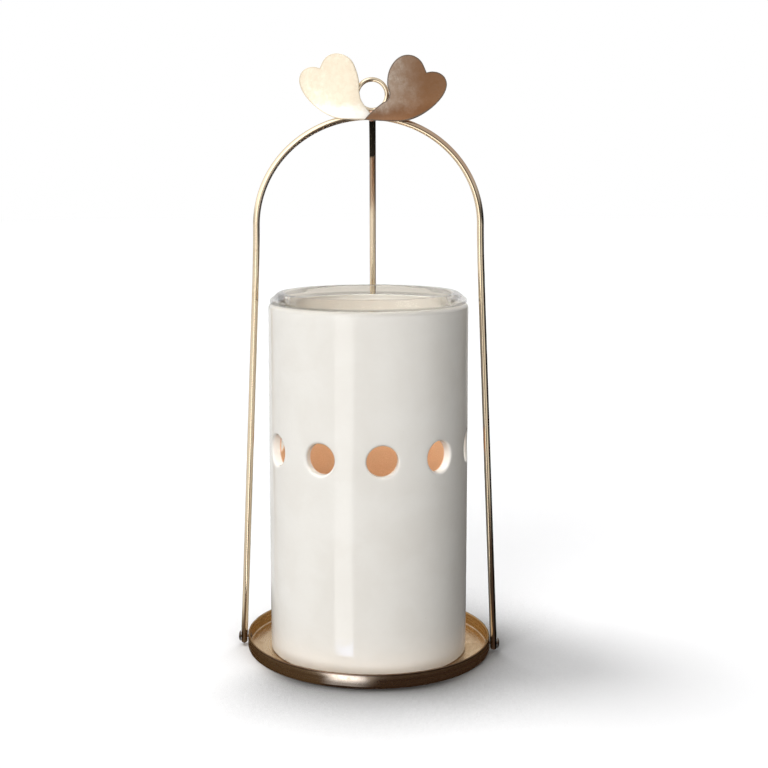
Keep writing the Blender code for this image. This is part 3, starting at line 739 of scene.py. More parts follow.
def leaf_surface(inner_side, turn_deg, side, tip_x, layer):
    """Corners, faces and distances from the outline of a leaf's bent middle. Side is -1 for the left one."""
    size = Vector((LEAF_LENGTH, LEAF_BREADTH))
    turn = math.radians(turn_deg)
    sides = [
        smooth_curve([Vector(share) * size for share in shares], LEAF_CURVE_STEPS)
        for shares in (inner_side, LEAF_MIDDLE, LEAF_OUTER_SIDE)
    ]
    rows = []
    for inner, middle, outer in zip(*sides):
        row = [inner.lerp(middle, step / LEAF_RULINGS) for step in range(LEAF_RULINGS)]
        row += [middle.lerp(outer, step / LEAF_RULINGS) for step in range(LEAF_RULINGS + 1)]
        rows.append(row)
    outline = sides[0] + sides[2][::-1]
    verts = []
    reaches = []
    for row in rows:
        for point in row:
            reaches.append(min(reach_from(point, start, end) for start, end in zip(outline, outline[1:])))
            outward = point.x * math.cos(turn) - point.y * math.sin(turn)
            upward = point.x * math.sin(turn) + point.y * math.cos(turn)
            from_crease = abs(tip_x + side * outward) / LEAF_SWEEP_SPAN
            curl = max(upward, 0) / (max(upward, 0) + LEAF_CURL_HEIGHT)
            sweep = LEAF_SWEEP * from_crease**LEAF_SWEEP_POWER * curl
            depth = LEAF_FRONT + LEAF_SHEET + layer * LEAF_LAYER
            verts.append(Vector((tip_x + side * outward, sweep - depth, LEAF_FOOT_HEIGHT + upward)))
    width = 2 * LEAF_RULINGS + 1
    faces = []
    for row in range(len(rows) - 1):
        for step in range(width - 1):
            first = row * width + step
            faces.append((first, first + 1, first + width + 1, first + width))
    return verts, faces, reaches


def corners_and_faces(shape):
    """Corners and faces of a mesh that is being built."""
    shape.verts.index_update()
    verts = [vert.co.copy() for vert in shape.verts]
    return verts, [[vert.index for vert in face.verts] for face in shape.faces]


def add_leaf(name, surface, material):
    """A leaf of even sheet with softened edges."""
    shape = bmesh.new()
    reach = shape.verts.layers.float.new("reach")
    corners = []
    for place, distance in zip(surface[0], surface[2]):
        corner = shape.verts.new(place)
        corner[reach] = distance
        corners.append(corner)
    for face in surface[1]:
        shape.faces.new([corners[index] for index in face])
    bmesh.ops.remove_doubles(shape, verts=shape.verts, dist=WELD_DISTANCE)
    verts, faces = corners_and_faces(shape)
    runs = [(vert[reach], 0.0) for face in shape.faces for vert in face.verts]
    shape.free()
    leaf = add_piece(name, verts, faces, material, runs)
    sheet = leaf.modifiers.new("sheet", "SOLIDIFY")
    sheet.thickness = LEAF_SHEET
    sheet.offset = 0
    edge = leaf.modifiers.new("softened edge", "BEVEL")
    edge.width = LEAF_EDGE_ROUND
    edge.segments = 3
    edge.limit_method = "ANGLE"
    edge.angle_limit = math.radians(50)
    return leaf


left_leaf = add_leaf(
    "left_leaf_sheet",
    leaf_surface(LEFT_LEAF_INNER_SIDE, turn_deg=42.5, side=-1, tip_x=0.0040, layer=0),
    make_leaf_finish(
        "left satin gold leaf with painted light",
        bright=(0.74, 0.685, 0.555),
        dull=(0.68, 0.615, 0.485),
        stain_and_shade=(0.70, 0.56, 0.43),
        edge=(0.56, 0.48, 0.36),
        tip=(1.00, 0.96, 0.90),
        patches=60.0,
        lobe_shade=(0.030, 0.050, 0.85),
    ),
)
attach(left_leaf, "stand")
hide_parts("left_leaf")
right_leaf = add_leaf(
    "right_leaf_sheet",
    leaf_surface(RIGHT_LEAF_INNER_SIDE, turn_deg=37.0, side=1, tip_x=-0.0013, layer=1),
    make_leaf_finish(
        "right satin gold leaf with painted shade",
        bright=(1.00, 0.88, 0.75),
        dull=(0.84, 0.69, 0.555),
        stain_and_shade=(0.33, 0.155, 0.065),
        edge=(0.18, 0.155, 0.13),
        tip=(0.27, 0.125, 0.055),
        patches=90.0,
        lobe_shade=(0.002, 0.027, 0.92),
    ),
)
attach(right_leaf, "stand")
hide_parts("right_leaf")

# Solder. A bead of hard solder joins the back leg to the arch, one holds the ring, and one lies behind the
# leaves' tips. They are rounded and a little lumpy, and the plating over them is rosier.
SOLDER_BEADS = (
    ("back_leg_solder", (0.0018, -0.0017, 0.2433), (0.0022, 0.0016, 0.0018)),
    ("ring_solder", (0.0020, -0.0037, 0.2452), (0.0021, 0.0013, 0.0012)),
    ("leaf_solder", (0.0014, -0.0054, 0.2432), (0.0042, 0.0007, 0.0009)),
)


def make_solder_finish():
    """Rosy plating over lumps of solder, browned in patches."""
    material, tree, shader = new_finish("plated solder")
    place = own_place(tree)
    lumps = clouds(place, 1400.0, 3.0, 0.6)
    stain = use_group(tree, tarnish, Patches=500.0, Reach=0.6).outputs[0]
    colour = colour_between(stain, (0.78, 0.52, 0.38), (0.42, 0.24, 0.14))
    shader.inputs["Metallic"].default_value = 1.0
    gloss = eased(lumps, 0.3, 0.7, 0.28, 0.5)
    join(shader, Base_Color=colour, Roughness=gloss, Normal=raised(lumps, 0.00008, 0.7))
    return material


solder_finish = make_solder_finish()
for name, centre, size in SOLDER_BEADS:
    shape = bmesh.new()
    bmesh.ops.create_icosphere(shape, subdivisions=4, radius=1)
    for vert in shape.verts:
        lump = 1 - 0.16 * abs(noise.noise(vert.co * 1.7 + Vector(centre) * 900))
        vert.co = Vector(centre) + Vector(size) * vert.co * lump
    verts, faces = corners_and_faces(shape)
    shape.free()
    bead = add_piece(name, verts, faces, solder_finish)
    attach(bead, "stand")

# Sleeve. A slip-cast tube, open at both ends, with a row of round vents cut through it before firing. Ivory
# glaze covers its outside, the vents and the top of its bore, and the rest of the bore is bare tan clay.
SLEEVE_RADIUS = 0.0452
SLEEVE_BORE_RADIUS = 0.0407
SLEEVE_FOOT = 0.0009
SLEEVE_TOP = 0.1606
SLEEVE_LIP_FILLET = 0.0020
SLEEVE_EDGE_FILLET = 0.0005
VENT_COUNT = 10
VENT_RADIUS = 0.0069
VENT_HEIGHT = 0.0965
VENT_TURN = math.radians(10.8) - math.pi / 2
VENT_RIM_FILLET = 0.0012
VENT_BACK_FILLET = 0.0007
VENT_FIELD_HALF_HEIGHT = 0.0135
VENT_SIDE_STEPS = 14
VENT_FIELD_STEPS = 5
SLEEVE_PITCH = 0.0040
SLEEVE_WOBBLE = 0.00010
BORE_GLAZED_DOWN_TO = 0.1090


def vent_ring(distance, radius, half_angle, spread):
    """One ring of corners round a vent on the cylinder of that radius, blended to the vent's square field."""
    ring = []
    half_width = radius * math.sin(half_angle)
    for quarter in range(4):
        for step in range(VENT_SIDE_STEPS):
            lean = math.radians(90 * step / VENT_SIDE_STEPS - 45)
            sideways, upwards = 1.0, math.tan(lean)
            for _ in range(quarter):
                sideways, upwards = -upwards, sideways
            reach = math.hypot(sideways, upwards)
            round_place = (distance * sideways / reach, distance * upwards / reach)
            square_place = (half_width * sideways, VENT_FIELD_HALF_HEIGHT * upwards)
            across = round_place[0] + (square_place[0] - round_place[0]) * spread
            up = round_place[1] + (square_place[1] - round_place[1]) * spread
            ring.append((math.asin(across / radius), radius, VENT_HEIGHT + up))
    return ring


def sleeve_mesh():
    """Corners and faces of the pierced tube, in rings round each vent and in rows above and below them."""
    half_angle = math.pi / VENT_COUNT
    rings = []
    for step in range(VENT_FIELD_STEPS + 1):
        spread = 1 - step / VENT_FIELD_STEPS
        rings.append(vent_ring(VENT_RADIUS + VENT_RIM_FILLET, SLEEVE_RADIUS, half_angle, spread))
    for step in range(1, FILLET_STEPS + 1):
        angle = math.pi / 2 * step / FILLET_STEPS
        distance = VENT_RADIUS + VENT_RIM_FILLET * (1 - math.sin(angle))
        depth = VENT_RIM_FILLET * (1 - math.cos(angle))
        rings.append(vent_ring(distance, SLEEVE_RADIUS - depth, half_angle, 0))
    for step in range(FILLET_STEPS + 1):
        angle = math.pi / 2 * (1 - step / FILLET_STEPS)
        distance = VENT_RADIUS + VENT_BACK_FILLET * (1 - math.sin(angle))
        depth = VENT_BACK_FILLET * (1 - math.cos(angle))
        rings.append(vent_ring(distance, SLEEVE_BORE_RADIUS + depth, half_angle, 0))
    for step in range(1, VENT_FIELD_STEPS + 1):
        spread = step / VENT_FIELD_STEPS
        rings.append(vent_ring(VENT_RADIUS + VENT_BACK_FILLET, SLEEVE_BORE_RADIUS, half_angle, spread))
    verts = []
    faces = []
    around = 4 * VENT_SIDE_STEPS
    for vent in range(VENT_COUNT):
        azimuth = VENT_TURN + math.tau * vent / VENT_COUNT
        first = len(verts)
        for ring in rings:
            for turn, radius, height in ring:
                verts.append((azimuth + turn, radius, height))
        for level in range(len(rings) - 1):
            for step in range(around):
                beside = (step + 1) % around
                near, far = first + level * around, first + (level + 1) * around
                faces.append((near + step, far + step, far + beside, near + beside))
    columns = []
    for vent in range(VENT_COUNT):
        azimuth = VENT_TURN + math.tau * vent / VENT_COUNT
        for step in range(VENT_SIDE_STEPS):
            lean = math.radians(90 * step / VENT_SIDE_STEPS - 45)
            columns.append(azimuth + math.asin(math.sin(half_angle) * math.tan(lean)))
    field_top = VENT_HEIGHT + VENT_FIELD_HALF_HEIGHT
    field_foot = VENT_HEIGHT - VENT_FIELD_HALF_HEIGHT
    lip = rounded_outline(
        (
            (SLEEVE_RADIUS, field_top, 0),
            (SLEEVE_RADIUS, SLEEVE_TOP, SLEEVE_LIP_FILLET),
            (SLEEVE_BORE_RADIUS, SLEEVE_TOP, SLEEVE_EDGE_FILLET),
            (SLEEVE_BORE_RADIUS, field_top, 0),
        )
    )
    foot = rounded_outline(
        (
            (SLEEVE_BORE_RADIUS, field_foot, 0),
            (SLEEVE_BORE_RADIUS, SLEEVE_FOOT, SLEEVE_EDGE_FILLET),
            (SLEEVE_RADIUS, SLEEVE_FOOT, SLEEVE_EDGE_FILLET),
            (SLEEVE_RADIUS, field_foot, 0),
        )
    )
    for outline in (lip, foot):
        rows = divided(outline, SLEEVE_PITCH)
        first = len(verts)
        for radius, height in rows:
            verts += [(turn, radius, height) for turn in columns]
        for row in range(len(rows) - 1):
            for step in range(len(columns)):
                beside = (step + 1) % len(columns)
                near, far = first + row * len(columns), first + (row + 1) * len(columns)
                faces.append((near + step, near + beside, far + beside, far + step))
    placed = []
    for turn, radius, height in verts:
        wobble = SLEEVE_WOBBLE * math.sin(2 * turn + 18 * height) - SLEEVE_WOBBLE
        reach = radius + wobble
        placed.append(Vector((reach * math.cos(turn), reach * math.sin(turn), height)))
    return placed, faces


def make_glaze():
    """Ivory glaze over tan clay. It pools a little, thins to the clay's warmth over the edges, and carries a
    painted shade near the top of the lip.
    """
    material, tree, shader = new_finish("ivory glaze on tan clay")
    place, axes, radius = place_round_axis(tree)
    inside = eased(radius, SLEEVE_BORE_RADIUS + 0.0010, SLEEVE_BORE_RADIUS + 0.0004)
    ragged = sum_of("MULTIPLY_ADD", clouds(place, 130.0, 4.0, 0.6), 0.006, axes.outputs[2])
    below = eased(ragged, BORE_GLAZED_DOWN_TO + 0.0015, BORE_GLAZED_DOWN_TO)
    bare = product(inside, below)
    near_foot = sum_of("MULTIPLY_ADD", clouds(place, 300.0), 0.0002, axes.outputs[2])
    bare = larger(bare, eased(near_foot, SLEEVE_FOOT + 0.0003, SLEEVE_FOOT + 0.0001))
    pooled = clouds(place, 55.0, 4.0, 0.5, 0.4)
    ripple = clouds(place, 210.0, 2.0, 0.5)
    grain = clouds(place, 2600.0, 4.0, 0.7)
    worn = use_group(tree, edge_wear, Width=0.0009, Breaks=350.0).outputs[0]
    glaze = colour_between(eased(pooled, 0.3, 0.7), (0.85, 0.825, 0.775), (0.88, 0.86, 0.815))
    thinned_and_lip_shaded = washed(glaze, worn, 0.30, (0.78, 0.69, 0.58))
    # Painted shade: the glaze is darker near the top of the lip.
    near_lip = eased(axes.outputs[2], SLEEVE_TOP - 0.0022, SLEEVE_TOP - 0.0010)
    thinned_and_lip_shaded = washed(thinned_and_lip_shaded, near_lip, 0.95, (0.66, 0.635, 0.585))
    specks = eased(clouds(place, 1100.0, 1.0, 0.4), 0.83, 0.87)
    specked = washed(thinned_and_lip_shaded, specks, 0.5, (0.45, 0.33, 0.22))
    clay = colour_between(eased(grain, 0.3, 0.7), (0.70, 0.43, 0.25), (0.82, 0.54, 0.34))
    join(shader, Base_Color=colour_between(bare, specked, clay))
    gloss = eased(pooled, 0.3, 0.7, 0.07, 0.13)
    glaze_skin = raised(ripple, 0.00035, 0.35)
    clay_skin = raised(product(grain, bare), 0.00012, 0.6, glaze_skin)
    dull = sum_of("MULTIPLY_ADD", bare, 0.6, gloss)
    join(shader, Roughness=dull, Normal=clay_skin)
    shader.inputs["IOR"].default_value = 1.52
    return material


sleeve = add_piece("sleeve_glazed", *sleeve_mesh(), make_glaze())
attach(sleeve, "sleeve")
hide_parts("ceramic_sleeve")

# Dish. Thick pressed glass, whose flange lies on the sleeve's lip and whose bowl hangs in its bore. Its
# edges are fire-polished, and its faces keep the faint ripple of the mould.
DISH_SEAT = 0.1609
DISH_BOWL_RADIUS = 0.0398
DISH_INNER_RADIUS = 0.0376
DISH_FLANGE_RADIUS = 0.0444
DISH_RISE = 0.0046
DISH_DEPTH = 0.0190
DISH_WALL = 0.0022
DISH_BOWL_FILLET = 0.0140
DISH_CREST_RADIUS = 0.0408
DISH_EDGE_HEIGHT = 0.0015
DISH_SHOULDER_FILLET = 0.0020
DISH_CREST_FILLET = 0.0010
DISH_EDGE_FILLET = 0.0005
DISH_SEGMENTS = 144
BOWL_FILLET_STEPS = 16


def dish_outline():
    """Closed outline of the dish, from under its middle out to the flange and back to the inside's middle."""
    outside = rounded_outline(
        ((0, -DISH_DEPTH, 0), (DISH_BOWL_RADIUS, -DISH_DEPTH, DISH_BOWL_FILLET), (DISH_BOWL_RADIUS, 0, 0)),
        BOWL_FILLET_STEPS,
    )
    rim = rounded_outline(
        (
            (DISH_BOWL_RADIUS, 0, 0),
            (DISH_FLANGE_RADIUS, 0, DISH_EDGE_FILLET),
            (DISH_FLANGE_RADIUS, DISH_EDGE_HEIGHT, DISH_EDGE_FILLET),
            (DISH_CREST_RADIUS, DISH_RISE, DISH_SHOULDER_FILLET),
            (DISH_INNER_RADIUS, DISH_RISE, DISH_CREST_FILLET),
            (DISH_INNER_RADIUS, 0, 0),
        ),
        10,
    )
    inside_floor = DISH_WALL - DISH_DEPTH
    inside = rounded_outline(
        (
            (DISH_INNER_RADIUS, 0, 0),
            (DISH_INNER_RADIUS, inside_floor, DISH_BOWL_FILLET - DISH_WALL),
            (0, inside_floor, 0),
        ),
        BOWL_FILLET_STEPS,
    )
    return [Vector((point.x, point.y + DISH_SEAT)) for point in outside + rim[1:-1] + inside]


def make_glass():
    """Clear glass, faintly rippled and smeared, with painted shade lines where the flange sits and along the
    crest. Its rim lets a part of the view through unbent.
    """
    material, tree, shader = new_finish("clear pressed glass")
    place, axes, radius = place_round_axis(tree)
    height = axes.outputs[2]
    ripple = clouds(place, 160.0, 2.0, 0.5, 0.3)
    smears = eased(clouds(place, 45.0, 5.0, 0.65, 0.8), 0.45, 0.75, 0.012, 0.07)
    tint = colour_between(eased(ripple, 0.3, 0.7), (0.930, 0.932, 0.918), (0.950, 0.950, 0.936))
    # Painted shade: a thin grey line where the flange sits on the lip.
    seat = eased(height, DISH_SEAT + 0.0013, DISH_SEAT + 0.0004)
    tint = washed(tint, eased(radius, 0.0425, 0.0435), seat, (0.40, 0.39, 0.37))
    # Painted shade: a grey line along the top of the crest.
    from_crest = sum_of("ABSOLUTE", sum_of("SUBTRACT", radius, DISH_CREST_RADIUS - 0.0010))
    crest_top = eased(height, DISH_SEAT + 0.0038, DISH_SEAT + 0.0042)
    tint = washed(tint, eased(from_crest, 0.0009, 0.0004), crest_top, (0.42, 0.39, 0.36))
    rim = product(eased(radius, 0.0376, 0.0392), eased(height, DISH_SEAT - 0.0060, DISH_SEAT - 0.0010))
    thin = eased(sum_of("ABSOLUTE", axes.outputs[0]), 0.0200, 0.0400, 0.12, 0.42)
    rays = add_node(tree, "LightPath").outputs
    lets_light = larger(rays["Is Shadow Ray"], rays["Is Diffuse Ray"])
    clarity = larger(product(lets_light, 0.35), product(rim, thin))
    join(shader, Alpha=sum_of("SUBTRACT", 1.0, clarity))
    shader.inputs["Transmission Weight"].default_value = 1.0
    shader.inputs["IOR"].default_value = 1.14
    join(shader, Base_Color=tint, Roughness=smears, Normal=raised(ripple, 0.00025, 0.3))
    return material


dish = add_piece("dish_glass", *turned(divided(dish_outline(), 0.004), DISH_SEGMENTS), make_glass())
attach(dish, "dish")
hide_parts("glass_dish")

# Tealight. A cup pressed from aluminium foil, crimped round its wall and rolled at its lip, is filled with
# white wax. A tinned plate under the wax holds a plaited cotton wick upright.
CANDLE_SEAT = 0.0011
CUP_RADIUS = 0.0190
CUP_HEIGHT = 0.0155
CUP_SHEET = 0.0004
CUP_LIP_WIDTH = 0.0007
CUP_CORNER_FILLET = 0.0010
CUP_CRIMPS = 44
CUP_CRIMP_DEPTH = 0.00016
CUP_CRIMP_FOOT = 0.0016
CUP_CRIMP_LIP_GAP = 0.0014
CUP_CRIMP_FADE = 0.0020
WAX_DEPTH = 0.0118
WAX_EDGE_FILLET = 0.0008
SEAT_GAP = 0.0003
SUSTAINER_RADIUS = 0.0055
SUSTAINER_SHEET = 0.0003
SUSTAINER_NECK_RADIUS = 0.0016
SUSTAINER_NECK_HEIGHT = 0.0042
WICK_RADIUS = 0.00075
WICK_HEIGHT = 0.0180
WICK_LEAN = 0.0012
WICK_STEPS = 60
WICK_PLAIT_PITCH = 0.0024
CUP_SEGMENTS = CUP_CRIMPS * 6

cup_inner = CUP_RADIUS - CUP_SHEET
cup_outline = rounded_outline(
    (
        (0, 0, 0),
        (CUP_RADIUS, 0, CUP_CORNER_FILLET),
        (CUP_RADIUS, CUP_HEIGHT - CUP_SHEET, 0.0002),
        (CUP_RADIUS + CUP_LIP_WIDTH, CUP_HEIGHT - CUP_SHEET, 0.00015),
        (CUP_RADIUS + CUP_LIP_WIDTH, CUP_HEIGHT, 0.00015),
        (cup_inner, CUP_HEIGHT, 0.00015),
        (cup_inner, CUP_SHEET, CUP_CORNER_FILLET - CUP_SHEET),
        (0, CUP_SHEET, 0),
    ),
    4,
)


def make_cup_finish():
    """Bare aluminium, lightly dented, bright along its edges."""
    material, tree, shader = new_finish("pressed aluminium")
    place = own_place(tree)
    marks = use_group(tree, lathe_marks, Fineness=4000.0, Wander=2.0).outputs[0]
    dents = clouds(place, 420.0, 3.0, 0.55)
    worn = use_group(tree, edge_wear, Width=0.0003, Breaks=900.0).outputs[0]
    base = colour_between(eased(dents, 0.3, 0.7), (0.76, 0.76, 0.77), (0.84, 0.84, 0.84))
    colour = colour_between(worn, base, (0.93, 0.93, 0.92))
    shader.inputs["Metallic"].default_value = 1.0
    skin = raised(dents, 0.0002, 0.3, raised(marks, 0.00002, 0.4))
    join(shader, Base_Color=colour, Roughness=eased(marks, 0.3, 0.7, 0.24, 0.42), Normal=skin)
    return material


verts, faces = turned(divided(cup_outline, 0.003), CUP_SEGMENTS)
crimped = []
for vert in verts:
    from_foot = max(vert.z - CUP_CRIMP_FOOT, 0) / CUP_CRIMP_FADE
    from_lip = max(CUP_HEIGHT - CUP_CRIMP_LIP_GAP - vert.z, 0) / CUP_CRIMP_FADE
    share = min(from_foot, from_lip, 1.0)
    on_wall = share if math.hypot(vert.x, vert.y) > cup_inner - SEAT_GAP else 0.0
    wave = (math.cos(CUP_CRIMPS * math.atan2(vert.y, vert.x)) - 1) / 2
    pull = 1 + on_wall * CUP_CRIMP_DEPTH * wave / CUP_RADIUS
    crimped.append(Vector((vert.x * pull, vert.y * pull, vert.z + CANDLE_SEAT)))
cup = add_piece("candle_cup", crimped, faces, make_cup_finish())
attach(cup, "candle")
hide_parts("tealight_cup")

wick_bore = WICK_RADIUS + SEAT_GAP
wax_foot = CANDLE_SEAT + CUP_SHEET + SEAT_GAP
wax_radius = cup_inner - SEAT_GAP - CUP_CRIMP_DEPTH
wax_outline = rounded_outline(
    (
        (wax_radius, 0, WAX_EDGE_FILLET),
        (wax_radius, WAX_DEPTH, 0.0002),
        (wax_radius - 0.0014, WAX_DEPTH - 0.0005, 0.0006),
        (wick_bore + 0.0016, WAX_DEPTH - 0.0005, 0.0006),
        (wick_bore, WAX_DEPTH, 0.0001),
        (wick_bore, SUSTAINER_NECK_HEIGHT + SEAT_GAP, 0),
        (SUSTAINER_NECK_RADIUS + SEAT_GAP, SUSTAINER_NECK_HEIGHT + SEAT_GAP, 0),
        (SUSTAINER_NECK_RADIUS + SEAT_GAP, SUSTAINER_SHEET + SEAT_GAP, 0),
        (SUSTAINER_RADIUS + SEAT_GAP, SUSTAINER_SHEET + SEAT_GAP, 0),
        (SUSTAINER_RADIUS + SEAT_GAP, 0, 0),
    ),
    4,
)


def make_wax():
    """White wax with a faint frost. A little light goes into it."""
    material, tree, shader = new_finish("white wax")
    place = own_place(tree)
    frost = clouds(place, 260.0, 5.0, 0.6, 0.5)
    worn = use_group(tree, edge_wear, Width=0.0006, Breaks=600.0).outputs[0]
    base = colour_between(eased(frost, 0.3, 0.7), (0.86, 0.835, 0.77), (0.90, 0.885, 0.835))
    colour = washed(base, worn, 0.6, (0.94, 0.93, 0.90))
    shader.inputs["Subsurface Weight"].default_value = 0.25
    shader.inputs["Subsurface Radius"].default_value = (0.004, 0.003, 0.002)
    shader.inputs["Subsurface Scale"].default_value = 0.5
    skin = raised(frost, 0.0003, 0.35)
    join(shader, Base_Color=colour, Roughness=eased(frost, 0.3, 0.7, 0.32, 0.52), Normal=skin)
    return material


wax_outline = [Vector((point.x, point.y + wax_foot)) for point in wax_outline]
wax = add_piece("candle_wax", *turned(wax_outline, 96), make_wax())
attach(wax, "candle")
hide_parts("tealight_wax")


def make_tin_finish():
    """Tinned plate with a fine spangle, darker at its cut edges."""
    material, tree, shader = new_finish("tinned steel plate")
    place = own_place(tree)
    spangle = clouds(place, 900.0, 2.0, 0.5)
    worn = use_group(tree, edge_wear, Width=0.0002, Breaks=1200.0).outputs[0]
    base = colour_between(eased(spangle, 0.35, 0.65), (0.58, 0.58, 0.59), (0.70, 0.70, 0.69))
    colour = colour_between(worn, base, (0.42, 0.40, 0.38))
    shader.inputs["Metallic"].default_value = 1.0
    gloss = eased(spangle, 0.3, 0.7, 0.30, 0.48)
    join(shader, Base_Color=colour, Roughness=gloss, Normal=raised(spangle, 0.00003, 0.5))
    return material


sustainer_outline = rounded_outline(
    (
        (wick_bore, wax_foot, 0),
        (SUSTAINER_RADIUS, wax_foot, 0.0001),
        (SUSTAINER_RADIUS, wax_foot + SUSTAINER_SHEET, 0.0001),
        (SUSTAINER_NECK_RADIUS, wax_foot + SUSTAINER_SHEET, 0.0004),
        (SUSTAINER_NECK_RADIUS, wax_foot + SUSTAINER_NECK_HEIGHT, 0.0002),
        (wick_bore, wax_foot + SUSTAINER_NECK_HEIGHT, 0),
    ),
    4,
)
sustainer = add_piece("wick_plate", *turned(sustainer_outline, 48), make_tin_finish())
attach(sustainer, "candle")
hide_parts("wick_sustainer")


def make_cotton():
    """Cotton stiff with wax, fuzzy and a little uneven in tone."""
    material, tree, shader = new_finish("waxed cotton")
    place = own_place(tree)
    fibres = clouds(place, 3200.0, 4.0, 0.7)
    worn = use_group(tree, edge_wear, Width=0.0002, Breaks=2000.0).outputs[0]
    base = colour_between(eased(fibres, 0.3, 0.7), (0.74, 0.70, 0.60), (0.90, 0.87, 0.79))
    colour = washed(base, worn, 0.4, (0.95, 0.93, 0.88))
    shader.inputs["Sheen Weight"].default_value = 0.3
    gloss = eased(fibres, 0.3, 0.7, 0.65, 0.9)
    join(shader, Base_Color=colour, Roughness=gloss, Normal=raised(fibres, 0.0001, 0.7))
    return material


def lean_at(share):
    """How far the wick leans at a share of its height. It is straight inside the wax."""
    above_wax = max(share * WICK_HEIGHT - WAX_DEPTH, 0) / (WICK_HEIGHT - WAX_DEPTH)
    return WICK_LEAN * above_wax**2


wick_path = []
for step in range(WICK_STEPS + 1):
    share = step / WICK_STEPS
    wick_path.append(Vector((lean_at(share), 0, wax_foot + share * WICK_HEIGHT)))
verts, faces, runs = bent_wire(wick_path, Vector((0, 1, 0)), WICK_RADIUS)
plaited = []
for vert in verts:
    share = min(max((vert.z - wax_foot) / WICK_HEIGHT, 0), 1)
    centre = Vector((lean_at(share), 0, vert.z))
    spoke = vert - centre
    turn = math.atan2(spoke.y, spoke.x)
    twist = math.tau * vert.z / WICK_PLAIT_PITCH
    plaited.append(centre + spoke * (0.9 + 0.1 * math.cos(2 * turn) * math.cos(3 * turn - twist)))
wick = add_piece("wick_plaited", plaited, faces, make_cotton(), runs)
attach(wick, "candle")
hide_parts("wick")

# Table. A wide white top that keeps the burner's soft shadow, deepened by a painted shade from ambient
# occlusion, most in front and least to the left. It shows white to the camera and a beige grey painted shade
# to what is seen through glass. In the metal it is dark close by, as in a studio with black boards round the
# piece.
TABLE_HALF_WIDTH = 8.0
TABLE_CELLS = 8
RIGHT_BOARD = (0.052, 0.034, 0.028)
LEFT_BOARD = (0.120, 0.088, 0.062)
# Painted shade: the beige grey that the table and the world show through glass.
SHADE_THROUGH_GLASS = (0.66, 0.62, 0.56)


def azimuth_of(way):
    """The azimuth of a place or a direction, counted from the front towards the right."""
    axes = add_node(way.id_data, "SeparateXYZ", {0: way}).outputs
    return sum_of("ARCTAN2", axes[0], product(axes[1], -1.0))


def swept(angle, start_deg, end_deg):
    """A mask that goes from 0 at one angle to 1 at another."""
    return eased(angle, math.radians(start_deg), math.radians(end_deg))


def wall_behind(azimuth):
    """A mask of the white wall behind the burner."""
    return larger(swept(azimuth, -105, -135), swept(azimuth, 148, 170))


def glow_of(tree, colour, strength=1.0):
    """An even glow."""
    return add_node(tree, "Emission", {"Color": colour, "Strength": strength}).outputs[0]


def new_stage_finish(name):
    """A new material without a shader, its node tree and the socket of its surface."""
    material, tree, shader = new_finish(name)
    tree.nodes.remove(shader)
    return material, tree, tree.nodes["Material Output"].inputs["Surface"]


def make_table_finish():
    """White to the camera, under a painted shade from ambient occlusion. Through glass it shows a beige grey
    painted shade. Polished surfaces see dark boards on it close by, and white further out.
    """
    material, tree, surface = new_stage_finish("white table")
    rays = add_node(tree, "LightPath").outputs
    place = own_place(tree)
    distance = length_of(place)
    azimuth = azimuth_of(place)
    directly = larger(rays["Is Camera Ray"], rays["Is Transmission Ray"])
    white = colour_between(clouds(place, 40.0, 2.0), (0.963, 0.966, 0.980), (0.978, 0.980, 0.990))
    # Painted shade: ambient occlusion darkens the white, more steeply in front and less to the left.
    open_sky = add_node(tree, "AmbientOcclusion", {"Distance": 0.13}, samples=16).outputs["AO"]
    limits = {"Value": open_sky, "From Min": 0.62, "From Max": 0.91, "To Min": 0.36, "To Max": 1.0}
    shade = add_node(tree, "MapRange", limits).outputs["Result"]
    to_left = product(swept(azimuth, -25, -62), swept(azimuth, -175, -140))
    to_front = swept(sum_of("ABSOLUTE", azimuth), 58, 22)
    depth = sum_of("MULTIPLY_ADD", to_front, 1.0, sum_of("MULTIPLY_ADD", to_left, -0.6, 0.95))
    shaded = colour_between(sum_of("POWER", shade, depth), (0.0, 0.0, 0.0), white)
    seen = colour_between(rays["Is Transmission Ray"], shaded, SHADE_THROUGH_GLASS)
    lit = colour_between(directly, (0.10, 0.10, 0.10), seen)
    shown = add_node(tree, "BsdfDiffuse", {"Color": lit}).outputs[0]
    far = product(rays["Is Camera Ray"], eased(distance, 1.0, 6.0))
    shown = add_node(tree, "MixShader", {0: far, 1: shown, 2: glow_of(tree, (1, 1, 1, 1))}).outputs[0]
    behind = product(wall_behind(azimuth), eased(distance, 0.30, 1.00, 0.0, 0.60))
    left = product(swept(azimuth, -8, -24), eased(distance, 0.085, 0.34, 0.0, 0.95))
    by_leg = product(swept(azimuth, -40, -60), eased(distance, 0.076, 0.130, 0.0, 0.80))
    right = product(swept(azimuth, 8, 20), swept(azimuth, 88, 66), eased(distance, 0.26, 0.45, 0.0, 0.85))
    near = colour_between(swept(azimuth, -14, -22), RIGHT_BOARD, LEFT_BOARD)
    boards = colour_between(eased(distance, 0.09, 0.80), near, (0.26, 0.23, 0.20))
    mirrored = colour_between(larger(behind, left, by_leg, right), boards, (0.95, 0.95, 0.95))
    polished = larger(sum_of("SUBTRACT", rays["Is Glossy Ray"], rays["Is Transmission Ray"]), 0.0)
    mixed = add_node(tree, "MixShader", {0: polished, 1: shown, 2: glow_of(tree, mirrored)}).outputs[0]
    tree.links.new(mixed, surface)
    return material


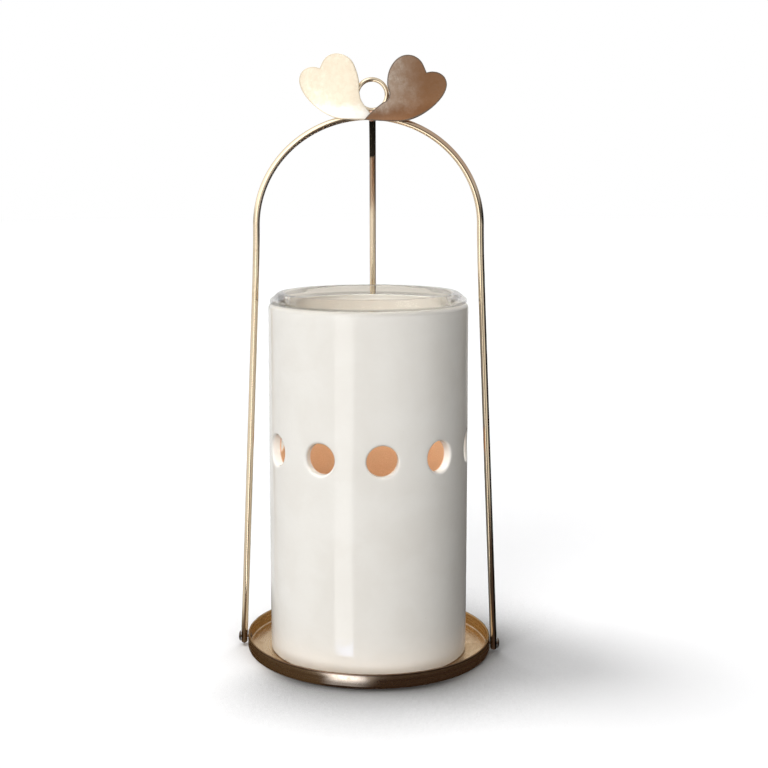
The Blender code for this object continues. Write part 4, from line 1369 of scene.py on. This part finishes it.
verts = []
for row in range(TABLE_CELLS + 1):
    for column in range(TABLE_CELLS + 1):
        across = (2 * column / TABLE_CELLS - 1) * TABLE_HALF_WIDTH
        deep = (2 * row / TABLE_CELLS - 1) * TABLE_HALF_WIDTH
        verts.append(Vector((across, deep, 0)))
faces = []
for row in range(TABLE_CELLS):
    for column in range(TABLE_CELLS):
        first = row * (TABLE_CELLS + 1) + column
        faces.append((first, first + 1, first + TABLE_CELLS + 2, first + TABLE_CELLS + 1))
table = add_piece("table", verts, faces, make_table_finish())

# Silver cards. Two lie on the table in front of the tray and light its wall, and the left one shows in the
# glaze too. A tall narrow one on a long foot stands front left and draws the long light down the glaze.
CARD_LEVEL = 0.0003
CARD_TOP = 0.2600
FLAT_CARD_CORNERS = ((-0.0211, -0.0535), (-0.0085, -0.0569), (-0.0155, -0.0871), (-0.0368, -0.0770))
SIDE_CARD_CORNERS = ((-0.0085, -0.0569), (0.0090, -0.0568), (0.0126, -0.0793), (-0.0140, -0.0803))
TALL_CARD_PATH = (
    (-0.0368, -0.0770, CARD_LEVEL),
    (-0.0155, -0.0871, CARD_LEVEL),
    (-0.0822, -0.1397, CARD_LEVEL),
    (-0.0349, -0.1611, CARD_LEVEL),
    (-0.0790, -0.1412, CARD_TOP),
    (-0.0331, -0.1619, CARD_TOP),
)


def make_flat_card_finish():
    """Brightest in the middle and away from the tray. It fades to the table's tone at either side."""
    material, tree, surface = new_stage_finish("flat silver card")
    place = own_place(tree)
    azimuth = azimuth_of(place)
    distance = length_of(place)
    fanned = larger(sum_of("SUBTRACT", distance, 0.069), 0.0)
    from_left = swept(sum_of("MULTIPLY_ADD", fanned, 9.0, azimuth), -21, -13)
    level = product(from_left, swept(azimuth, 6.5, -6), eased(distance, 0.0600, 0.0685, 0.5, 3.6))
    silver = glow_of(tree, (0.85, 1.03, 1.50, 1), level)
    beside = glow_of(tree, colour_between(from_left, LEFT_BOARD, RIGHT_BOARD))
    tree.links.new(add_node(tree, "AddShader", {0: silver, 1: beside}).outputs[0], surface)
    return material


def make_tall_card_finish():
    """An even, slightly warm glow."""
    material, tree, surface = new_stage_finish("tall silver card")
    tree.links.new(glow_of(tree, (1.0, 0.99, 0.97, 1), 2.4), surface)
    return material


def add_card(name, places, faces, material):
    """A card that only polished surfaces see."""
    card = add_piece(name, [Vector(place) for place in places], faces, material)
    card.visible_camera = False
    card.visible_diffuse = False
    card.visible_transmission = False
    card.visible_shadow = False
    return card


def shine_only_on(source, title, pieces):
    """Keeps a lamp's or a card's light to some pieces, which go in a collection of that title."""
    lit = bpy.data.collections.new(title)
    for piece in pieces:
        lit.objects.link(piece)
    source.light_linking.receiver_collection = lit


flat_card_finish = make_flat_card_finish()
for name, corners, title, pieces in (
    ("flat_card", FLAT_CARD_CORNERS, "beside the flat card", (tray, sleeve)),
    ("side_card", SIDE_CARD_CORNERS, "beside the side card", (tray,)),
):
    card = add_card(name, [(*corner, CARD_LEVEL) for corner in corners], [(0, 1, 2, 3)], flat_card_finish)
    shine_only_on(card, title, pieces)
add_card("tall_card", TALL_CARD_PATH, [(0, 1, 3, 2), (2, 3, 5, 4)], make_tall_card_finish())

# Light. A soft key stands to the left and a wider one in front, and the room fills in. Polished metal and
# glaze see a white wall behind the burner, a tall window front left and dark boards elsewhere.
KEY_STRENGTH = 1.77
FRONT_STRENGTH = 3.50
OVERHEAD_STRENGTH = 0.72
BACK_FILL_STRENGTH = 2.0
INNER_LAMP_POWER = 0.022
INNER_LAMP_RADIUS = 0.012
INNER_LAMP_HEIGHT = 0.098


def add_sun(name, azimuth_deg, elevation_deg, strength, spread_deg, colour):
    """A sun lamp that shines from an azimuth, counted from the front towards the right, and elevation."""
    light = bpy.data.lights.new(name, "SUN")
    light.energy = strength
    light.angle = math.radians(spread_deg)
    light.color = colour
    lamp = bpy.data.objects.new(name, light)
    azimuth, elevation = math.radians(azimuth_deg), math.radians(elevation_deg)
    toward = Vector((math.sin(azimuth), -math.cos(azimuth), 0)) * math.cos(elevation)
    toward.z = math.sin(elevation)
    lamp.rotation_mode = "QUATERNION"
    lamp.rotation_quaternion = toward.to_track_quat("Z", "Y")
    lamp.location = toward
    lamp.visible_glossy = False
    bpy.context.scene.collection.objects.link(lamp)
    return lamp


add_sun("key", -104, 58, KEY_STRENGTH, 26, (1.0, 0.995, 0.99))
add_sun("front", -13, 13, FRONT_STRENGTH, 60, (1.0, 0.99, 0.975))
add_sun("overhead", 180, 74, OVERHEAD_STRENGTH, 20, (1.0, 1.0, 1.0))

back_fill = add_sun("back fill", 158, 20, BACK_FILL_STRENGTH, 60, (1.0, 1.0, 1.0))
shine_only_on(back_fill, "lit from behind", (sleeve,))

inner_light = bpy.data.lights.new("inner fill", "POINT")
inner_light.energy = INNER_LAMP_POWER
inner_light.shadow_soft_size = INNER_LAMP_RADIUS
inner_light.color = (1.0, 0.96, 0.90)
inner_lamp = bpy.data.objects.new("inner fill", inner_light)
inner_lamp.location = (0, 0, INNER_LAMP_HEIGHT)
inner_lamp.visible_glossy = False
inner_lamp.visible_transmission = False
bpy.context.scene.collection.objects.link(inner_lamp)

world = bpy.data.worlds.new("studio")
world.use_nodes = True
bpy.context.scene.world = world
tree = world.node_tree
tree.nodes.clear()
way = add_node(tree, "TexCoord").outputs["Generated"]
azimuth = azimuth_of(way)
elevation = sum_of("ARCSINE", add_node(tree, "SeparateXYZ", {0: way}).outputs[2])
left_wall = product(swept(azimuth, -50, -70), swept(azimuth, -150, -115))
window = product(swept(azimuth, -66, -46), swept(azimuth, -6, -14), swept(elevation, 80, 60))
room = sum_of("MULTIPLY_ADD", swept(elevation, 1, 11), 0.72, 0.05)
room = larger(room, product(wall_behind(azimuth), eased(elevation, 0.0, 0.2, 0.55, 0.95)))
room = sum_of("MULTIPLY_ADD", left_wall, 0.55, room)
room = sum_of("MULTIPLY_ADD", window, 1.3, room)
rays = add_node(tree, "LightPath").outputs
through_glass = sum_of("MULTIPLY_ADD", sum_of("MINIMUM", room, 1.0), 0.08, 0.92)
level = add_node(tree, "Mix", {0: rays["Is Diffuse Ray"], 2: 1.0, 3: 0.12}).outputs[0]
level = add_node(tree, "Mix", {0: rays["Is Glossy Ray"], 2: level, 3: room}).outputs[0]
level = add_node(tree, "Mix", {0: rays["Is Transmission Ray"], 2: level, 3: through_glass}).outputs[0]
# Painted shade: seen through glass the world is a beige grey.
shade = colour_between(rays["Is Transmission Ray"], (1.0, 1.0, 1.0), SHADE_THROUGH_GLASS)
glow = add_node(tree, "Background", {"Color": shade, "Strength": level}).outputs[0]
tree.links.new(glow, add_node(tree, "OutputWorld").inputs["Surface"])

# Camera. It stands a little to the right of the middle and looks slightly down.
CAMERA_PLACE = (0.0288, -0.6086, 0.2198)
CAMERA_YAW = -0.104
CAMERA_PITCH = 0.128
CAMERA_ROLL = 0.008
CAMERA_LENS = 63.25
CAMERA_SHIFT = (0.1198, -0.0508)

forward = Vector((math.sin(CAMERA_YAW), math.cos(CAMERA_YAW), 0)) * math.cos(CAMERA_PITCH)
forward.z = -math.sin(CAMERA_PITCH)
level_right = forward.cross(Vector((0, 0, 1))).normalized()
level_up = level_right.cross(forward)
right = level_right * math.cos(CAMERA_ROLL) - level_up * math.sin(CAMERA_ROLL)
up = level_right * math.sin(CAMERA_ROLL) + level_up * math.cos(CAMERA_ROLL)
view = bpy.data.cameras.new("camera")
view.sensor_width = 36
view.lens = CAMERA_LENS
view.shift_x, view.shift_y = CAMERA_SHIFT
view.clip_start = 0.01
view.clip_end = 100
camera = bpy.data.objects.new("camera", view)
camera.matrix_world = Matrix.Translation(CAMERA_PLACE) @ Matrix((right, up, -forward)).transposed().to_4x4()
bpy.context.scene.collection.objects.link(camera)
bpy.context.scene.camera = camera
bpy.context.scene.view_settings.view_transform = "Standard"
